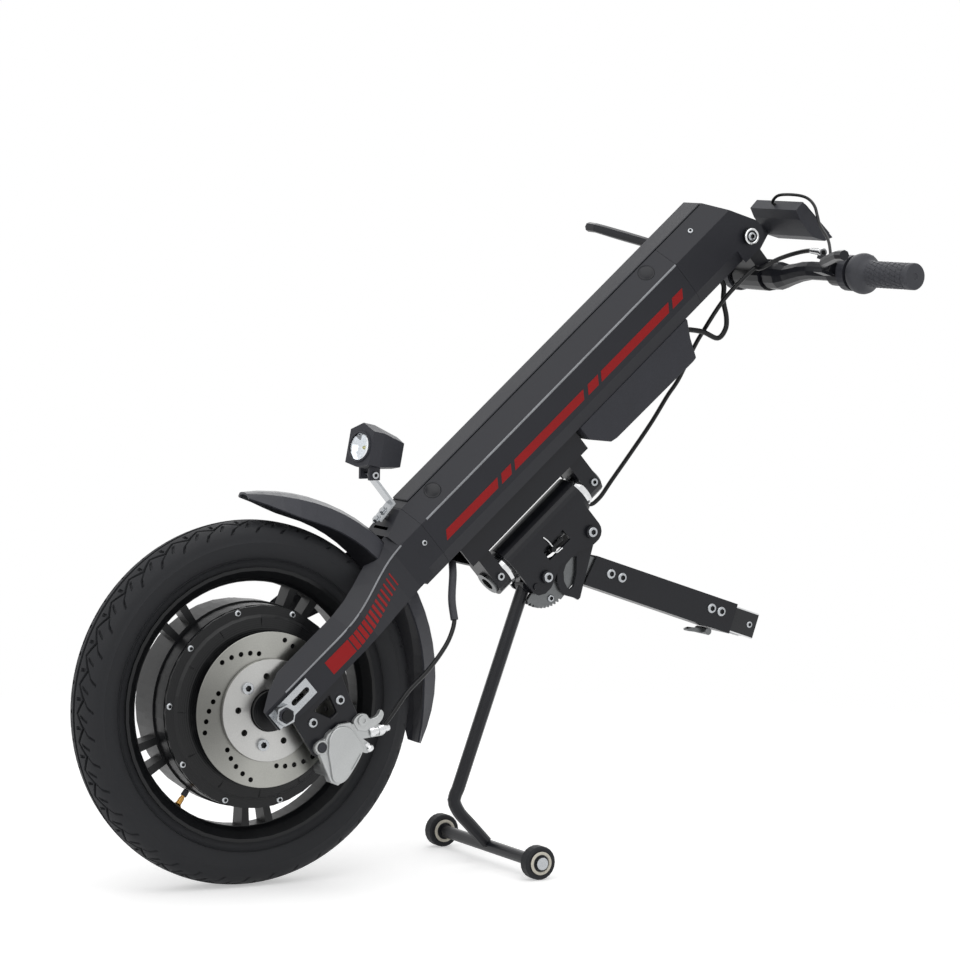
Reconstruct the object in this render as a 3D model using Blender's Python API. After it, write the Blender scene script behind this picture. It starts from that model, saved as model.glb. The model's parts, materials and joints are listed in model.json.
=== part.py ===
"""Electric handbike that docks to a wheelchair.

A 16 inch hub-motor wheel turns in a cast fork under an inclined battery column, which
carries the handlebar. Behind the column a docking head swivels on an inclined head tube
and holds the telescopic arm for the wheelchair and the folding parking stand.

Two frames are used. The ground frame has its origin on the floor under the axle, with
+X towards the rider, +Y to the right-hand side and +Z up. The column frame has its
origin on the wheel axle, with X up along the column (s), Y as before and Z square to
the column, away from the rider (n). Lengths are metres.
"""

import math

import bmesh
import bpy
from mathutils import Matrix, Vector

# clearances
GAP = 0.0003
PIN_CLEARANCE = 0.0003
RUNNING_GAP = 0.0015

# wheel and tyre (64-305)
TYRE_RADIUS = 0.2125
TYRE_WIDTH = 0.062
TYRE_WALL = 0.0045
TREAD_STEPS = 56
TREAD_ZIGZAG = 0.0024
TREAD_GROOVE = 0.0026
RIM_RADIUS = 0.160
RIM_WIDTH = 0.052
RIM_WELL = 0.1435
SPOKE_PAIRS = 5
SPOKE_PHASE = math.radians(132.0)
SPOKE_WIDTH = 0.009
SPOKE_EYE_ANGLE = math.radians(8.5)
WEB_WIDTH = 0.024
DRUM_RADIUS = 0.118
DRUM_WIDTH = 0.072
DRUM_WALL = 0.008
WHEEL_SEGMENTS = 45

# motor covers and axle
COVER_THICKNESS = 0.005
COVER_DISH = 0.010
COVER_SCREW_CIRCLE = 0.1130
AXLE_RADIUS = 0.007
AXLE_LENGTH = 0.236
STATOR_RADIUS = 0.100
STATOR_WIDTH = 0.036
STATOR_TEETH = 12

# brake disc and carrier, on the left side
DISC_RADIUS = 0.090
DISC_BORE = 0.034
DISC_THICKNESS = 0.0022
DISC_Y = -0.0628
DISC_HOLE_GROUPS = 6
DISC_HOLES_IN_GROUP = 5
DISC_HOLE_RADIUS = 0.0026
DISC_HOLE_START = math.radians(100.5)
DISC_HOLE_SWEEP = math.radians(35.0)
DISC_HOLE_INNER = 0.0665
DISC_HOLE_OUTER = 0.0820
CARRIER_RADIUS = 0.0595
CARRIER_THICKNESS = 0.005
CARRIER_BOLTS = 3
CARRIER_BOLT_CIRCLE = 0.040
CARRIER_BOLT_PHASE = math.radians(137.0)
HUB_NOSE_RADIUS = 0.0235
HUB_NOSE_END = 0.0760

# column: extruded shell between a cast fork and a cast head
COLUMN_ANGLE = math.radians(41.5)
COLUMN_HALF_WIDTH = 0.042
COLUMN_FRONT = 0.037
COLUMN_RIDGE = 0.015
COLUMN_FACET = -0.031
COLUMN_BACK = -0.0475
COLUMN_FRONT_HALF = 0.0185
COLUMN_BACK_HALF = 0.036
COLUMN_WALL = 0.003
COLUMN_START = 0.2535
CROWN_LENGTH = 0.0375
NOSE_DROP = 0.009
SHELL_LENGTH = 0.458
STRIP_THICKNESS = 0.002
STRIP_END = 0.834

# column head and stem pivot
PIVOT_S = 0.850
PIVOT_N = -0.028
EAR_RADIUS = 0.022
HEAD_FRONT_S = 0.8355
SLOT_START = 0.822
STEM_HALF_WIDTH = 0.028
PIVOT_BOLT_RADIUS = 0.005

# fork blades
BLADE_OUTER = 0.100
BLADE_WALL = 0.006
BLADE_TIP = -0.014
BLADE_SPREAD_END = 0.120
BLADE_REAR_TOP = -0.041
BLADE_REAR_LOW = -0.020
BLADE_FRONT_LOW = 0.031
BLADE_CHAMFER = 0.021
BLADE_STATIONS = 12
PLATE_THICKNESS = 0.003
PLATE_HALF_HEIGHT = 0.0115
PLATE_START = -0.013
PLATE_END = 0.048
NUT_FLATS = 0.022
NUT_HEIGHT = 0.009

# rail, steering brackets and head tube
RAIL_HALF_WIDTH = 0.028
RAIL_DEPTH = 0.030
RAIL_START = 0.314
RAIL_END = 0.521
STEER_N = -0.120
SPINDLE_RADIUS = 0.015
HEAD_TUBE_RADIUS = 0.0255
HEAD_TUBE_BORE = 0.0185
HEAD_TUBE_START = 0.3545
HEAD_TUBE_END = 0.481
BRACKET_LENGTH = 0.018
UPPER_BRACKET_LENGTH = 0.021
CUP_LENGTH = 0.009
CUP_RADIUS = 0.022
BRACKET_HALF_WIDTH = 0.0195

# controller box behind the column
BOX_START = 0.5255
BOX_END = 0.7214
BOX_DEPTH = 0.0948
BOX_HALF_WIDTH = 0.037

# docking head cheeks
CHEEK_THICKNESS = 0.004
TILT_S = 0.380
TILT_N = -0.158
UPPER_BOLT_S = 0.460
UPPER_BOLT_N = -0.159
STAND_S = 0.362
STAND_N = -0.157
STAND_PIN_RADIUS = 0.004
STAND_KNUCKLE_RADIUS = 0.0095
STAND_KNUCKLE_HALF = 0.0098
DOCK_BOLT_RADIUS = 0.005
DOCK_BOLT_HEAD = 0.008
LATCH_S = 0.4145
LATCH_N = -0.018
LATCH_TRAVEL = 0.006

# arm for the wheelchair
ARM_SLOPE = math.radians(-18.3)
ARM_WIDTH = 0.040
ARM_HEIGHT = 0.038
ARM_WALL = 0.0025
ARM_LIFT = 0.025
ARM_START = 0.058
ARM_SLANT = 0.0055
ARM_END = 0.278
INNER_SIZE = 0.030
INNER_WALL = 0.0025
INNER_START = 0.135
INNER_END = 0.316
LUG_THICKNESS = 0.006
LUG_HALF_WIDTH = 0.0165
SECTOR_RADIUS = 0.039
SECTOR_START = 253.0
SECTOR_SWEEP = 80.0
SECTOR_TEETH = 11
SECTOR_SLOT = (math.radians(240.0), math.radians(272.0))
LUG_HUB_RADIUS = 0.013
CLAMP_AT = 0.2525
TOOTH_DEPTH = 0.0028

# parking stand
STAND_FOOT_X = 0.331
ROLLER_RADIUS = 0.020
ROLLER_WIDTH = 0.016
ROLLER_SPACING = 0.235
STAND_TUBE_RADIUS = 0.008
CROSSBAR_RADIUS = 0.0075
CROSSBAR_WALL = 0.0025

# handlebar
BAR_DROP = 0.064
BAR_RADIUS = 0.0111
BAR_CENTRE_RADIUS = 0.0159
BAR_HALF_LENGTH = 0.296
GRIP_RADIUS = 0.016
GRIP_LENGTH = 0.088
GRIP_WALL_END = 0.004
FLANGE_RADIUS = 0.0245
GRIP_SWEEP = math.radians(8.5)
LEVER_CLAMP_OFFSET = 0.038
BAR_RISE = 0.009
BAR_BACK = -0.001
STEM_CLAMP_RADIUS = 0.0195
LEVER_TILTS = {"left": math.radians(17.0), "right": math.radians(28.0)}

# headlight and its strap, in the ground frame
LAMP_X = 0.1606
LAMP_Z = 0.4731
LAMP_LENGTH = 0.056
LAMP_FRONT = -0.0225
LAMP_LIFT = 0.0293
LAMP_LENS_RADIUS = 0.0165
LAMP_TILT = math.radians(12.0)
LAMP_TURN = math.radians(14.0)
STRAP_BEND = (0.1898, 0.4387)
STRAP_FOOT = (0.1715, 0.4180)
STRAP_THICKNESS = 0.003
STRAP_HALF_WIDTH = 0.009

# fender
FENDER_HALF_WIDTH = 0.0385
FENDER_SKIRT = 0.027
FENDER_THICKNESS = 0.0025
FENDER_ACROSS = 6
FENDER_S = 0.0251
FENDER_N = 0.0015
FENDER_RADIUS = COLUMN_START - 0.0008 - FENDER_S
FENDER_CLEARANCE = 0.0006
FENDER_FRONT = math.radians(95.3)
FENDER_REAR = math.radians(-20.3)

# brake caliper, with its dome's centre in the column frame
CALIPER_S = 0.0403
CALIPER_N = -0.0752
CALIPER_FACE = -0.101
CALIPER_SHELL = 0.003
CALIPER_BOSS = 0.007
CALIPER_ARM_HUB = 0.0105
CALIPER_ARM_REACH = (0.0127, -0.0328)
CALIPER_STOP = (0.0790, -0.1045)

# cables
CABLE_RADIUS = 0.0027
SLEEVE_RADIUS = 0.0046
LEAD_RADIUS = 0.0032
CABLE_STEP = 0.020

SIDES = (("left", -1), ("right", 1))

COLOURS = {
    "black": ((0.012, 0.013, 0.015), 0.45, 0.0),
    "anthracite": ((0.035, 0.037, 0.042), 0.5, 0.3),
    "rubber": ((0.010, 0.010, 0.010), 0.8, 0.0),
    "silver": ((0.62, 0.62, 0.60), 0.3, 1.0),
    "steel": ((0.45, 0.45, 0.44), 0.35, 1.0),
    "glass": ((0.8, 0.82, 0.85), 0.05, 0.0),
    "copper": ((0.55, 0.27, 0.12), 0.4, 1.0),
}


def clear_scene():
    """Remove whatever the open file holds."""
    for item in list(bpy.data.objects):
        bpy.data.objects.remove(item, do_unlink=True)


def make_material(name, colour, roughness, metallic):
    """Return a plain Principled material."""
    material = bpy.data.materials.new(name)
    material.use_nodes = True
    shader = material.node_tree.nodes["Principled BSDF"]
    shader.inputs["Base Color"].default_value = (*colour, 1.0)
    shader.inputs["Roughness"].default_value = roughness
    shader.inputs["Metallic"].default_value = metallic
    return material


def finish(name, palette):
    """Return a material for one piece, from the shared palette."""
    colour, roughness, metallic = COLOURS[palette]
    return make_material(name, colour, roughness, metallic)


def make_empty(name, parent=None, location=(0, 0, 0), rotation=(0, 0, 0)):
    """Add an empty that carries other objects."""
    empty = bpy.data.objects.new(name, None)
    empty.location = location
    empty.rotation_euler = rotation
    empty.parent = parent
    bpy.context.scene.collection.objects.link(empty)
    return empty


def add_object(name, bm, parent, palette, smooth=None):
    """Turn a bmesh into a named object with its own material."""
    bmesh.ops.recalc_face_normals(bm, faces=bm.faces)
    mesh = bpy.data.meshes.new(name)
    bm.to_mesh(mesh)
    bm.free()
    if smooth is not None:
        mesh.shade_smooth()
        mesh.set_sharp_from_angle(angle=math.radians(smooth))
    mesh.materials.append(finish(name, palette))
    item = bpy.data.objects.new(name, mesh)
    item.parent = parent
    bpy.context.scene.collection.objects.link(item)
    return item


def add_bevel(item, width, segments=1, angle=35.0):
    """Round the edges of an object."""
    bevel = item.modifiers.new("bevel", "BEVEL")
    bevel.width = width
    bevel.segments = segments
    bevel.limit_method = "ANGLE"
    bevel.angle_limit = math.radians(angle)
    bevel.use_clamp_overlap = True


def combine(item, bm, operation):
    """Join, cut or intersect an object with a bmesh given in its own frame."""
    bmesh.ops.recalc_face_normals(bm, faces=bm.faces)
    mesh = bpy.data.meshes.new(item.name + "_tool")
    bm.to_mesh(mesh)
    bm.free()
    tool = bpy.data.objects.new(item.name + "_tool", mesh)
    tool.parent = item.parent
    tool.matrix_parent_inverse = item.matrix_parent_inverse
    tool.location = item.location
    tool.rotation_euler = item.rotation_euler
    tool.hide_render = True
    tool.display_type = "WIRE"
    bpy.context.scene.collection.objects.link(tool)
    boolean = item.modifiers.new(operation.lower(), "BOOLEAN")
    boolean.operation = operation
    boolean.solver = "EXACT"
    boolean.object = tool


def arc(centre_x, centre_z, radius, start, end, steps):
    """Return points on an arc, with angles in degrees, both ends included."""
    points = []
    for index in range(steps + 1):
        angle = math.radians(start + (end - start) * index / steps)
        points.append((centre_x + radius * math.cos(angle),
                       centre_z + radius * math.sin(angle)))
    return points


def prism(outline, low_y, high_y, bm=None):
    """Extrude an XZ outline along Y."""
    bm = bm or bmesh.new()
    low = [bm.verts.new((x, low_y, z)) for x, z in outline]
    high = [bm.verts.new((x, high_y, z)) for x, z in outline]
    bm.faces.new(low)
    bm.faces.new(reversed(high))
    for index in range(len(outline)):
        after = (index + 1) % len(outline)
        bm.faces.new((low[index], high[index], high[after], low[after]))
    return bm


def box(x0, x1, y0, y1, z0, z1, bm=None):
    """Return a box between two corners."""
    return prism([(x0, z0), (x1, z0), (x1, z1), (x0, z1)], y0, y1, bm)


def revolve(profile, segments, phase=0.0, twist=None, bm=None):
    """Turn a closed (radius, y) profile about the Y axis.

    A twist function gives the sideways shift of a profile point in one ring.
    """
    bm = bm or bmesh.new()
    rings = []
    for step in range(segments):
        angle = phase + 2 * math.pi * step / segments
        ring = []
        for index, (radius, y) in enumerate(profile):
            shift = twist(index, step) if twist else 0.0
            ring.append(bm.verts.new((radius * math.cos(angle), y + shift,
                                      radius * math.sin(angle))))
        rings.append(ring)
    for step in range(segments):
        here = rings[step]
        there = rings[(step + 1) % segments]
        for index in range(len(profile)):
            after = (index + 1) % len(profile)
            bm.faces.new((here[index], there[index], there[after], here[after]))
    return bm


def rod(radius, low_y, high_y, segments=16, centre=(0.0, 0.0), bm=None, phase=0.0):
    """Return a cylinder along Y."""
    outline = []
    for index in range(segments):
        angle = phase + 2 * math.pi * index / segments
        outline.append((centre[0] + radius * math.cos(angle),
                        centre[1] + radius * math.sin(angle)))
    return prism(outline, low_y, high_y, bm)


def rod_along(axis, radius, start, length, segments=16, bm=None):
    """Return a cylinder from a point along any direction."""
    piece = rod(radius, 0.0, length, segments)
    turn = Vector((0, 1, 0)).rotation_difference(Vector(axis).normalized())
    matrix = Matrix.Translation(Vector(start)) @ turn.to_matrix().to_4x4()
    bmesh.ops.transform(piece, matrix=matrix, verts=piece.verts)
    return merge_into(bm, piece)


def merge_into(target, piece):
    """Add the geometry of one bmesh to another, as separate bodies."""
    if target is None:
        return piece
    mesh = bpy.data.meshes.new("scratch")
    piece.to_mesh(mesh)
    piece.free()
    target.from_mesh(mesh)
    bpy.data.meshes.remove(mesh)
    return target


def moved(bm, matrix):
    """Transform a bmesh in place and return it."""
    bmesh.ops.transform(bm, matrix=matrix, verts=bm.verts)
    return bm


def mirrored_pair(bm):
    """Add the mirror image across the XZ plane, as a second body."""
    copy = bm.copy()
    bmesh.ops.scale(copy, vec=(1, -1, 1), verts=copy.verts)
    bmesh.ops.reverse_faces(copy, faces=copy.faces)
    return merge_into(bm, copy)


def tube_section(outer, inner, low, high, axis="X"):
    """Return a straight hollow tube from two outlines of equal length."""
    bm = bmesh.new()

    def point(pair, along):
        if axis == "X":
            return (along, pair[0], pair[1])
        return (pair[0], along, pair[1])

    rows = []
    for outline, along in ((outer, low), (outer, high), (inner, high), (inner, low)):
        rows.append([bm.verts.new(point(pair, along)) for pair in outline])
    count = len(outer)
    for row in range(4):
        here = rows[row]
        there = rows[(row + 1) % 4]
        for index in range(count):
            after = (index + 1) % count
            bm.faces.new((here[index], here[after], there[after], there[index]))
    return bm


def loft(sections):
    """Skin a list of closed sections of equal length and cap both ends."""
    bm = bmesh.new()
    rows = [[bm.verts.new(point) for point in section] for section in sections]
    count = len(rows[0])
    for row in range(len(rows) - 1):
        for index in range(count):
            after = (index + 1) % count
            bm.faces.new((rows[row][index], rows[row][after],
                          rows[row + 1][after], rows[row + 1][index]))
    bm.faces.new(rows[0])
    bm.faces.new(reversed(rows[-1]))
    return bm


def offset_outline(outline, distance):
    """Offset a convex counter-clockwise outline inwards."""
    result = []
    count = len(outline)
    for index in range(count):
        before = Vector(outline[index - 1])
        here = Vector(outline[index])
        after = Vector(outline[(index + 1) % count])
        first = (here - before).normalized()
        second = (after - here).normalized()
        normal_a = Vector((-first.y, first.x))
        normal_b = Vector((-second.y, second.x))
        bisector = (normal_a + normal_b).normalized()
        result.append(tuple(here + bisector * distance / bisector.dot(normal_a)))
    return result


def smooth_route(points, step):
    """Read a Catmull-Rom curve through the points at about equal steps."""
    points = [Vector(point) for point in points]
    padded = [2 * points[0] - points[1], *points, 2 * points[-1] - points[-2]]
    result = []
    for index in range(1, len(padded) - 2):
        p0, p1, p2, p3 = padded[index - 1:index + 3]
        count = max(1, round((p2 - p1).length / step))
        for number in range(count):
            t = number / count
            result.append(0.5 * ((2 * p1) + (p2 - p0) * t
                                 + (2 * p0 - 5 * p1 + 4 * p2 - p3) * t * t
                                 + (3 * p1 - p0 - 3 * p2 + p3) * t ** 3))
    result.append(points[-1])
    return result


def add_tube(name, points, radius, parent, palette, resolution=2, radii=None):
    """Add a round tube along points, as a bevelled curve with filled caps."""
    curve = bpy.data.curves.new(name, "CURVE")
    curve.dimensions = "3D"
    curve.bevel_depth = radius
    curve.bevel_resolution = resolution
    curve.use_fill_caps = True
    spline = curve.splines.new("POLY")
    spline.points.add(len(points) - 1)
    for index, point in enumerate(points):
        spline.points[index].co = (*point, 1.0)
        if radii:
            spline.points[index].radius = radii[index] / radius
    curve.materials.append(finish(name, palette))
    item = bpy.data.objects.new(name, curve)
    item.parent = parent
    bpy.context.scene.collection.objects.link(item)
    return item


def sweep(points, radius, segments):
    """Return a solid round tube along points, as a mesh."""
    points = [Vector(point) for point in points]
    rings = []
    side = Vector((0, 1, 0))
    for index, point in enumerate(points):
        before = points[max(index - 1, 0)]
        after = points[min(index + 1, len(points) - 1)]
        along = (after - before).normalized()
        up = along.cross(side).normalized()
        rings.append([point + radius * (math.cos(2 * math.pi * k / segments) * side
                                        + math.sin(2 * math.pi * k / segments) * up)
                      for k in range(segments)])
    return loft(rings)


def hull(first, second, steps=7):
    """Return the outline of two circles, given as (x, z, radius), and their tangents."""
    apart = Vector((second[0] - first[0], second[1] - first[1]))
    heading = math.degrees(math.atan2(apart.y, apart.x))
    open_angle = math.degrees(math.acos((first[2] - second[2]) / apart.length))
    outline = arc(*first, heading + open_angle, heading + 360 - open_angle, steps + 3)
    outline += arc(*second, heading - open_angle, heading + open_angle, steps)
    return outline


def column_to_ground(s, y, n):
    """Turn a point of the column frame into the ground frame."""
    return Vector((s * math.cos(COLUMN_ANGLE) - n * math.sin(COLUMN_ANGLE), y,
                   TYRE_RADIUS + s * math.sin(COLUMN_ANGLE) + n * math.cos(COLUMN_ANGLE)))


def column_outline():
    """Return the column's cross-section as (y, n) points, counter-clockwise."""
    half = [(COLUMN_BACK_HALF, COLUMN_BACK), (COLUMN_HALF_WIDTH, COLUMN_FACET),
            (COLUMN_HALF_WIDTH, COLUMN_RIDGE), (COLUMN_FRONT_HALF, COLUMN_FRONT)]
    return half + [(-y, n) for y, n in reversed(half)]


def make_tyre(parent):
    """Balloon tyre: an open casing with a zigzag centre groove."""
    half = TYRE_WIDTH / 2
    top = TYRE_RADIUS
    bead = RIM_RADIUS - 0.005
    edge = RIM_WIDTH / 2 - 0.0035
    belly = (top + RIM_RADIUS) / 2
    groove = TREAD_GROOVE
    outer = [(bead, -edge), (RIM_RADIUS + 0.004, -edge - 0.0004),
             (belly, -half), (top - 0.0115, -half * 0.9), (top - 0.0028, -half * 0.56),
             (top, -groove * 0.9), (top - groove, 0.0)]
    crown_start = 4
    outer += [(radius, -y) for radius, y in reversed(outer[:-1])]
    inner_half = [(bead, edge - 0.008), (RIM_RADIUS + 0.006, half - 0.0115),
                  (belly, half - TYRE_WALL), (top - 0.013, half * 0.68)]
    inner = inner_half + [(radius, -y) for radius, y in reversed(inner_half)]
    crown_end = len(outer) - crown_start

    def zigzag(index, step):
        if crown_start < index < crown_end - 1:
            return TREAD_ZIGZAG if step % 2 else -TREAD_ZIGZAG
        return 0.0

    bm = revolve(outer + inner, TREAD_STEPS, twist=zigzag)
    return add_object("tyre", bm, parent, "rubber", smooth=50)


def ring_sector(inner, outer, start, end, half_width, steps):
    """Return a thick ring sector about the Y axis, for openings in the wheel."""
    outline = arc(0, 0, outer, math.degrees(start), math.degrees(end), steps)
    outline += arc(0, 0, inner, math.degrees(end), math.degrees(start), steps)
    return prism(outline, -half_width, half_width)


def make_rim(parent):
    """Cast rim: barrel, five pairs of spokes and the motor drum in one piece."""
    half = RIM_WIDTH / 2
    web = WEB_WIDTH / 2
    drum = DRUM_WIDTH / 2
    seat = RIM_RADIUS - 0.0055
    well = RIM_RADIUS - 0.0115
    lip = 0.0028
    profile = [(RIM_RADIUS, -half), (RIM_RADIUS, -half + lip), (seat, -half + lip + 0.0004),
               (seat, -half + 0.012), (well, -half + 0.016)]
    profile += [(radius, -y) for radius, y in reversed(profile)]
    side = [(RIM_RADIUS - 0.004, half), (RIM_WELL + 0.004, half - 0.008), (RIM_WELL, web),
            (DRUM_RADIUS, web - 0.001), (DRUM_RADIUS, drum), (DRUM_RADIUS - DRUM_WALL, drum)]
    profile += side
    profile += [(radius, -y) for radius, y in reversed(side)]
    rim = add_object("rim", revolve(profile, WHEEL_SEGMENTS), parent, "black", smooth=40)
    spoke_angle = SPOKE_WIDTH / ((RIM_WELL + DRUM_RADIUS) / 2)
    spacing = 2 * math.pi / SPOKE_PAIRS
    cutter = None
    for pair in range(SPOKE_PAIRS):
        centre = SPOKE_PHASE + pair * spacing
        eye = SPOKE_EYE_ANGLE / 2
        cutter = merge_into(cutter, ring_sector(
            DRUM_RADIUS + 0.0035, RIM_WELL - 0.001, centre - eye, centre + eye, drum, 3))
        cutter = merge_into(cutter, ring_sector(
            DRUM_RADIUS + 0.002, RIM_WELL - 0.001, centre + eye + spoke_angle,
            centre + spacing - eye - spoke_angle, drum, 12))
    combine(rim, cutter, "DIFFERENCE")
    return rim


def make_motor_covers(parent):
    """Dished end covers of the hub motor; the left one carries the brake disc."""
    seat = DRUM_WIDTH / 2 + GAP
    face = seat + COVER_DISH
    outer = DRUM_RADIUS - 0.0005
    bore = AXLE_RADIUS + RUNNING_GAP
    rim_profile = [(outer, seat), (outer, seat + COVER_THICKNESS),
                   (COVER_SCREW_CIRCLE - 0.0055, seat + COVER_THICKNESS + 0.001),
                   (COVER_SCREW_CIRCLE - 0.0085, face - 0.001), (0.092, face + 0.002)]
    disc_seat = -DISC_Y - GAP
    left_nose = [(0.055, face + 0.003), (0.0475, face + 0.004), (0.0475, disc_seat),
                 (HUB_NOSE_RADIUS, disc_seat), (HUB_NOSE_RADIUS, HUB_NOSE_END),
                 (bore, HUB_NOSE_END)]
    right_nose = [(0.040, face + 0.004), (0.036, face + 0.012), (HUB_NOSE_RADIUS, face + 0.014),
                  (HUB_NOSE_RADIUS - 0.003, HUB_NOSE_END - 0.006),
                  (bore, HUB_NOSE_END - 0.006)]
    for name, nose, sign in (("motor_cover_left", left_nose, -1),
                             ("motor_cover_right", right_nose, 1)):
        profile = [(radius, sign * y) for radius, y in rim_profile + nose + [(bore, seat)]]
        add_object(name, revolve(profile, 36), parent, "black", smooth=30)


def make_disc(parent):
    """Brake disc with slanting rows of holes."""
    far = DISC_Y - DISC_THICKNESS
    profile = [(DISC_BORE, DISC_Y), (DISC_BORE, far), (DISC_RADIUS, far), (DISC_RADIUS, DISC_Y)]
    disc = add_object("brake_disc", revolve(profile, 48), parent, "silver", smooth=30)
    cutter = None
    for group in range(DISC_HOLE_GROUPS):
        start = DISC_HOLE_START + 2 * math.pi * group / DISC_HOLE_GROUPS
        for number in range(DISC_HOLES_IN_GROUP):
            part = number / (DISC_HOLES_IN_GROUP - 1)
            radius = DISC_HOLE_INNER + (DISC_HOLE_OUTER - DISC_HOLE_INNER) * part
            angle = start + DISC_HOLE_SWEEP * part
            centre = (radius * math.cos(angle), radius * math.sin(angle))
            cutter = rod(DISC_HOLE_RADIUS, far - 0.002, DISC_Y + 0.002, 6, centre, cutter)
    combine(disc, cutter, "DIFFERENCE")


def make_carrier(parent):
    """Ring that clamps the disc to the hub."""
    near = DISC_Y - DISC_THICKNESS - GAP
    far = near - CARRIER_THICKNESS
    bore = HUB_NOSE_RADIUS + 0.0005
    profile = [(bore, near), (bore, far), (CARRIER_RADIUS - 0.001, far),
               (CARRIER_RADIUS, far + 0.001), (CARRIER_RADIUS, near)]
    carrier = add_object("disc_carrier", revolve(profile, 36), parent, "silver", smooth=30)
    cutter = None
    for index in range(3 * CARRIER_BOLTS):
        angle = CARRIER_BOLT_PHASE + 2 * math.pi * index / (3 * CARRIER_BOLTS)
        centre = (CARRIER_BOLT_CIRCLE * math.cos(angle), CARRIER_BOLT_CIRCLE * math.sin(angle))
        if index % 3 == 0:
            cutter = rod(0.0033, far - 0.001, near + 0.001, 8, centre, cutter)
        else:
            cutter = rod(0.0033, far - 0.001, near + 0.001, 6, centre, cutter)
    combine(carrier, cutter, "DIFFERENCE")


def make_wheel(parent):
    """All pieces that turn with the wheel."""
    make_tyre(parent)
    make_rim(parent)
    make_motor_covers(parent)
    make_disc(parent)
    make_carrier(parent)


def make_axle_group(parent):
    """Fixed axle, stator, nuts and the slotted dropout plates."""
    half = AXLE_LENGTH / 2
    add_object("axle", rod(AXLE_RADIUS, -half, half, 20), parent, "black", smooth=40)
    outline = []
    for tooth in range(STATOR_TEETH):
        start = 360.0 * tooth / STATOR_TEETH
        pitch = 360.0 / STATOR_TEETH
        outline += arc(0, 0, STATOR_RADIUS, start, start + pitch * 0.7, 2)
        outline += arc(0, 0, STATOR_RADIUS * 0.78, start + pitch * 0.78, start + pitch * 0.92, 1)
    stator = add_object("motor_stator", prism(outline, -STATOR_WIDTH / 2, STATOR_WIDTH / 2),
                        parent, "copper")
    hole = AXLE_RADIUS + PIN_CLEARANCE
    combine(stator, rod(hole, -STATOR_WIDTH, STATOR_WIDTH, 20), "DIFFERENCE")
    near = BLADE_OUTER + GAP
    far = near + PLATE_THICKNESS
    nut_near = far + GAP
    nut_far = nut_near + NUT_HEIGHT
    slot = arc(0.040, 0, 0.0035, -90, 90, 4) + arc(0.019, 0, 0.0035, 90, 270, 4)
    radius = NUT_FLATS / 2 / math.cos(math.pi / 6)
    for word, side in SIDES:
        low, high = sorted((side * near, side * far))
        plate = add_object("dropout_plate_" + word,
                           box(PLATE_START, PLATE_END, low, high,
                               -PLATE_HALF_HEIGHT, PLATE_HALF_HEIGHT), parent, "silver")
        cutter = prism(slot, low - 0.001, high + 0.001)
        cutter = rod(hole, low - 0.001, high + 0.001, 20, bm=cutter)
        combine(plate, cutter, "DIFFERENCE")
        low, high = sorted((side * nut_near, side * nut_far))
        nut = add_object("axle_nut_" + word, rod(radius, low, high, 6, phase=COLUMN_ANGLE),
                         parent, "silver")
        combine(nut, rod(hole, low - 0.001, high + 0.001, 20), "DIFFERENCE")


def make_column(parent):
    """Extruded shell, the strip on its front and the battery inside it."""
    outline = column_outline()
    start = COLUMN_START + CROWN_LENGTH + GAP
    end = start + SHELL_LENGTH
    shell = tube_section(outline, offset_outline(outline, COLUMN_WALL), start, end)
    add_object("column_shell", shell, parent, "anthracite")
    low = COLUMN_FRONT + GAP
    half = COLUMN_FRONT_HALF
    strip = box(start + 0.012, STRIP_END, -half, half, low, low + STRIP_THICKNESS)
    strip = add_object("front_strip", strip, parent, "anthracite")
    add_bevel(strip, 0.0012)
    pack_outline = offset_outline(outline, COLUMN_WALL + GAP)
    pack = loft([[(along, y, n) for y, n in pack_outline]
                 for along in (start + 0.008, end - 0.012)])
    add_object("battery_pack", pack, parent, "black")
    return start, end


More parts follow.
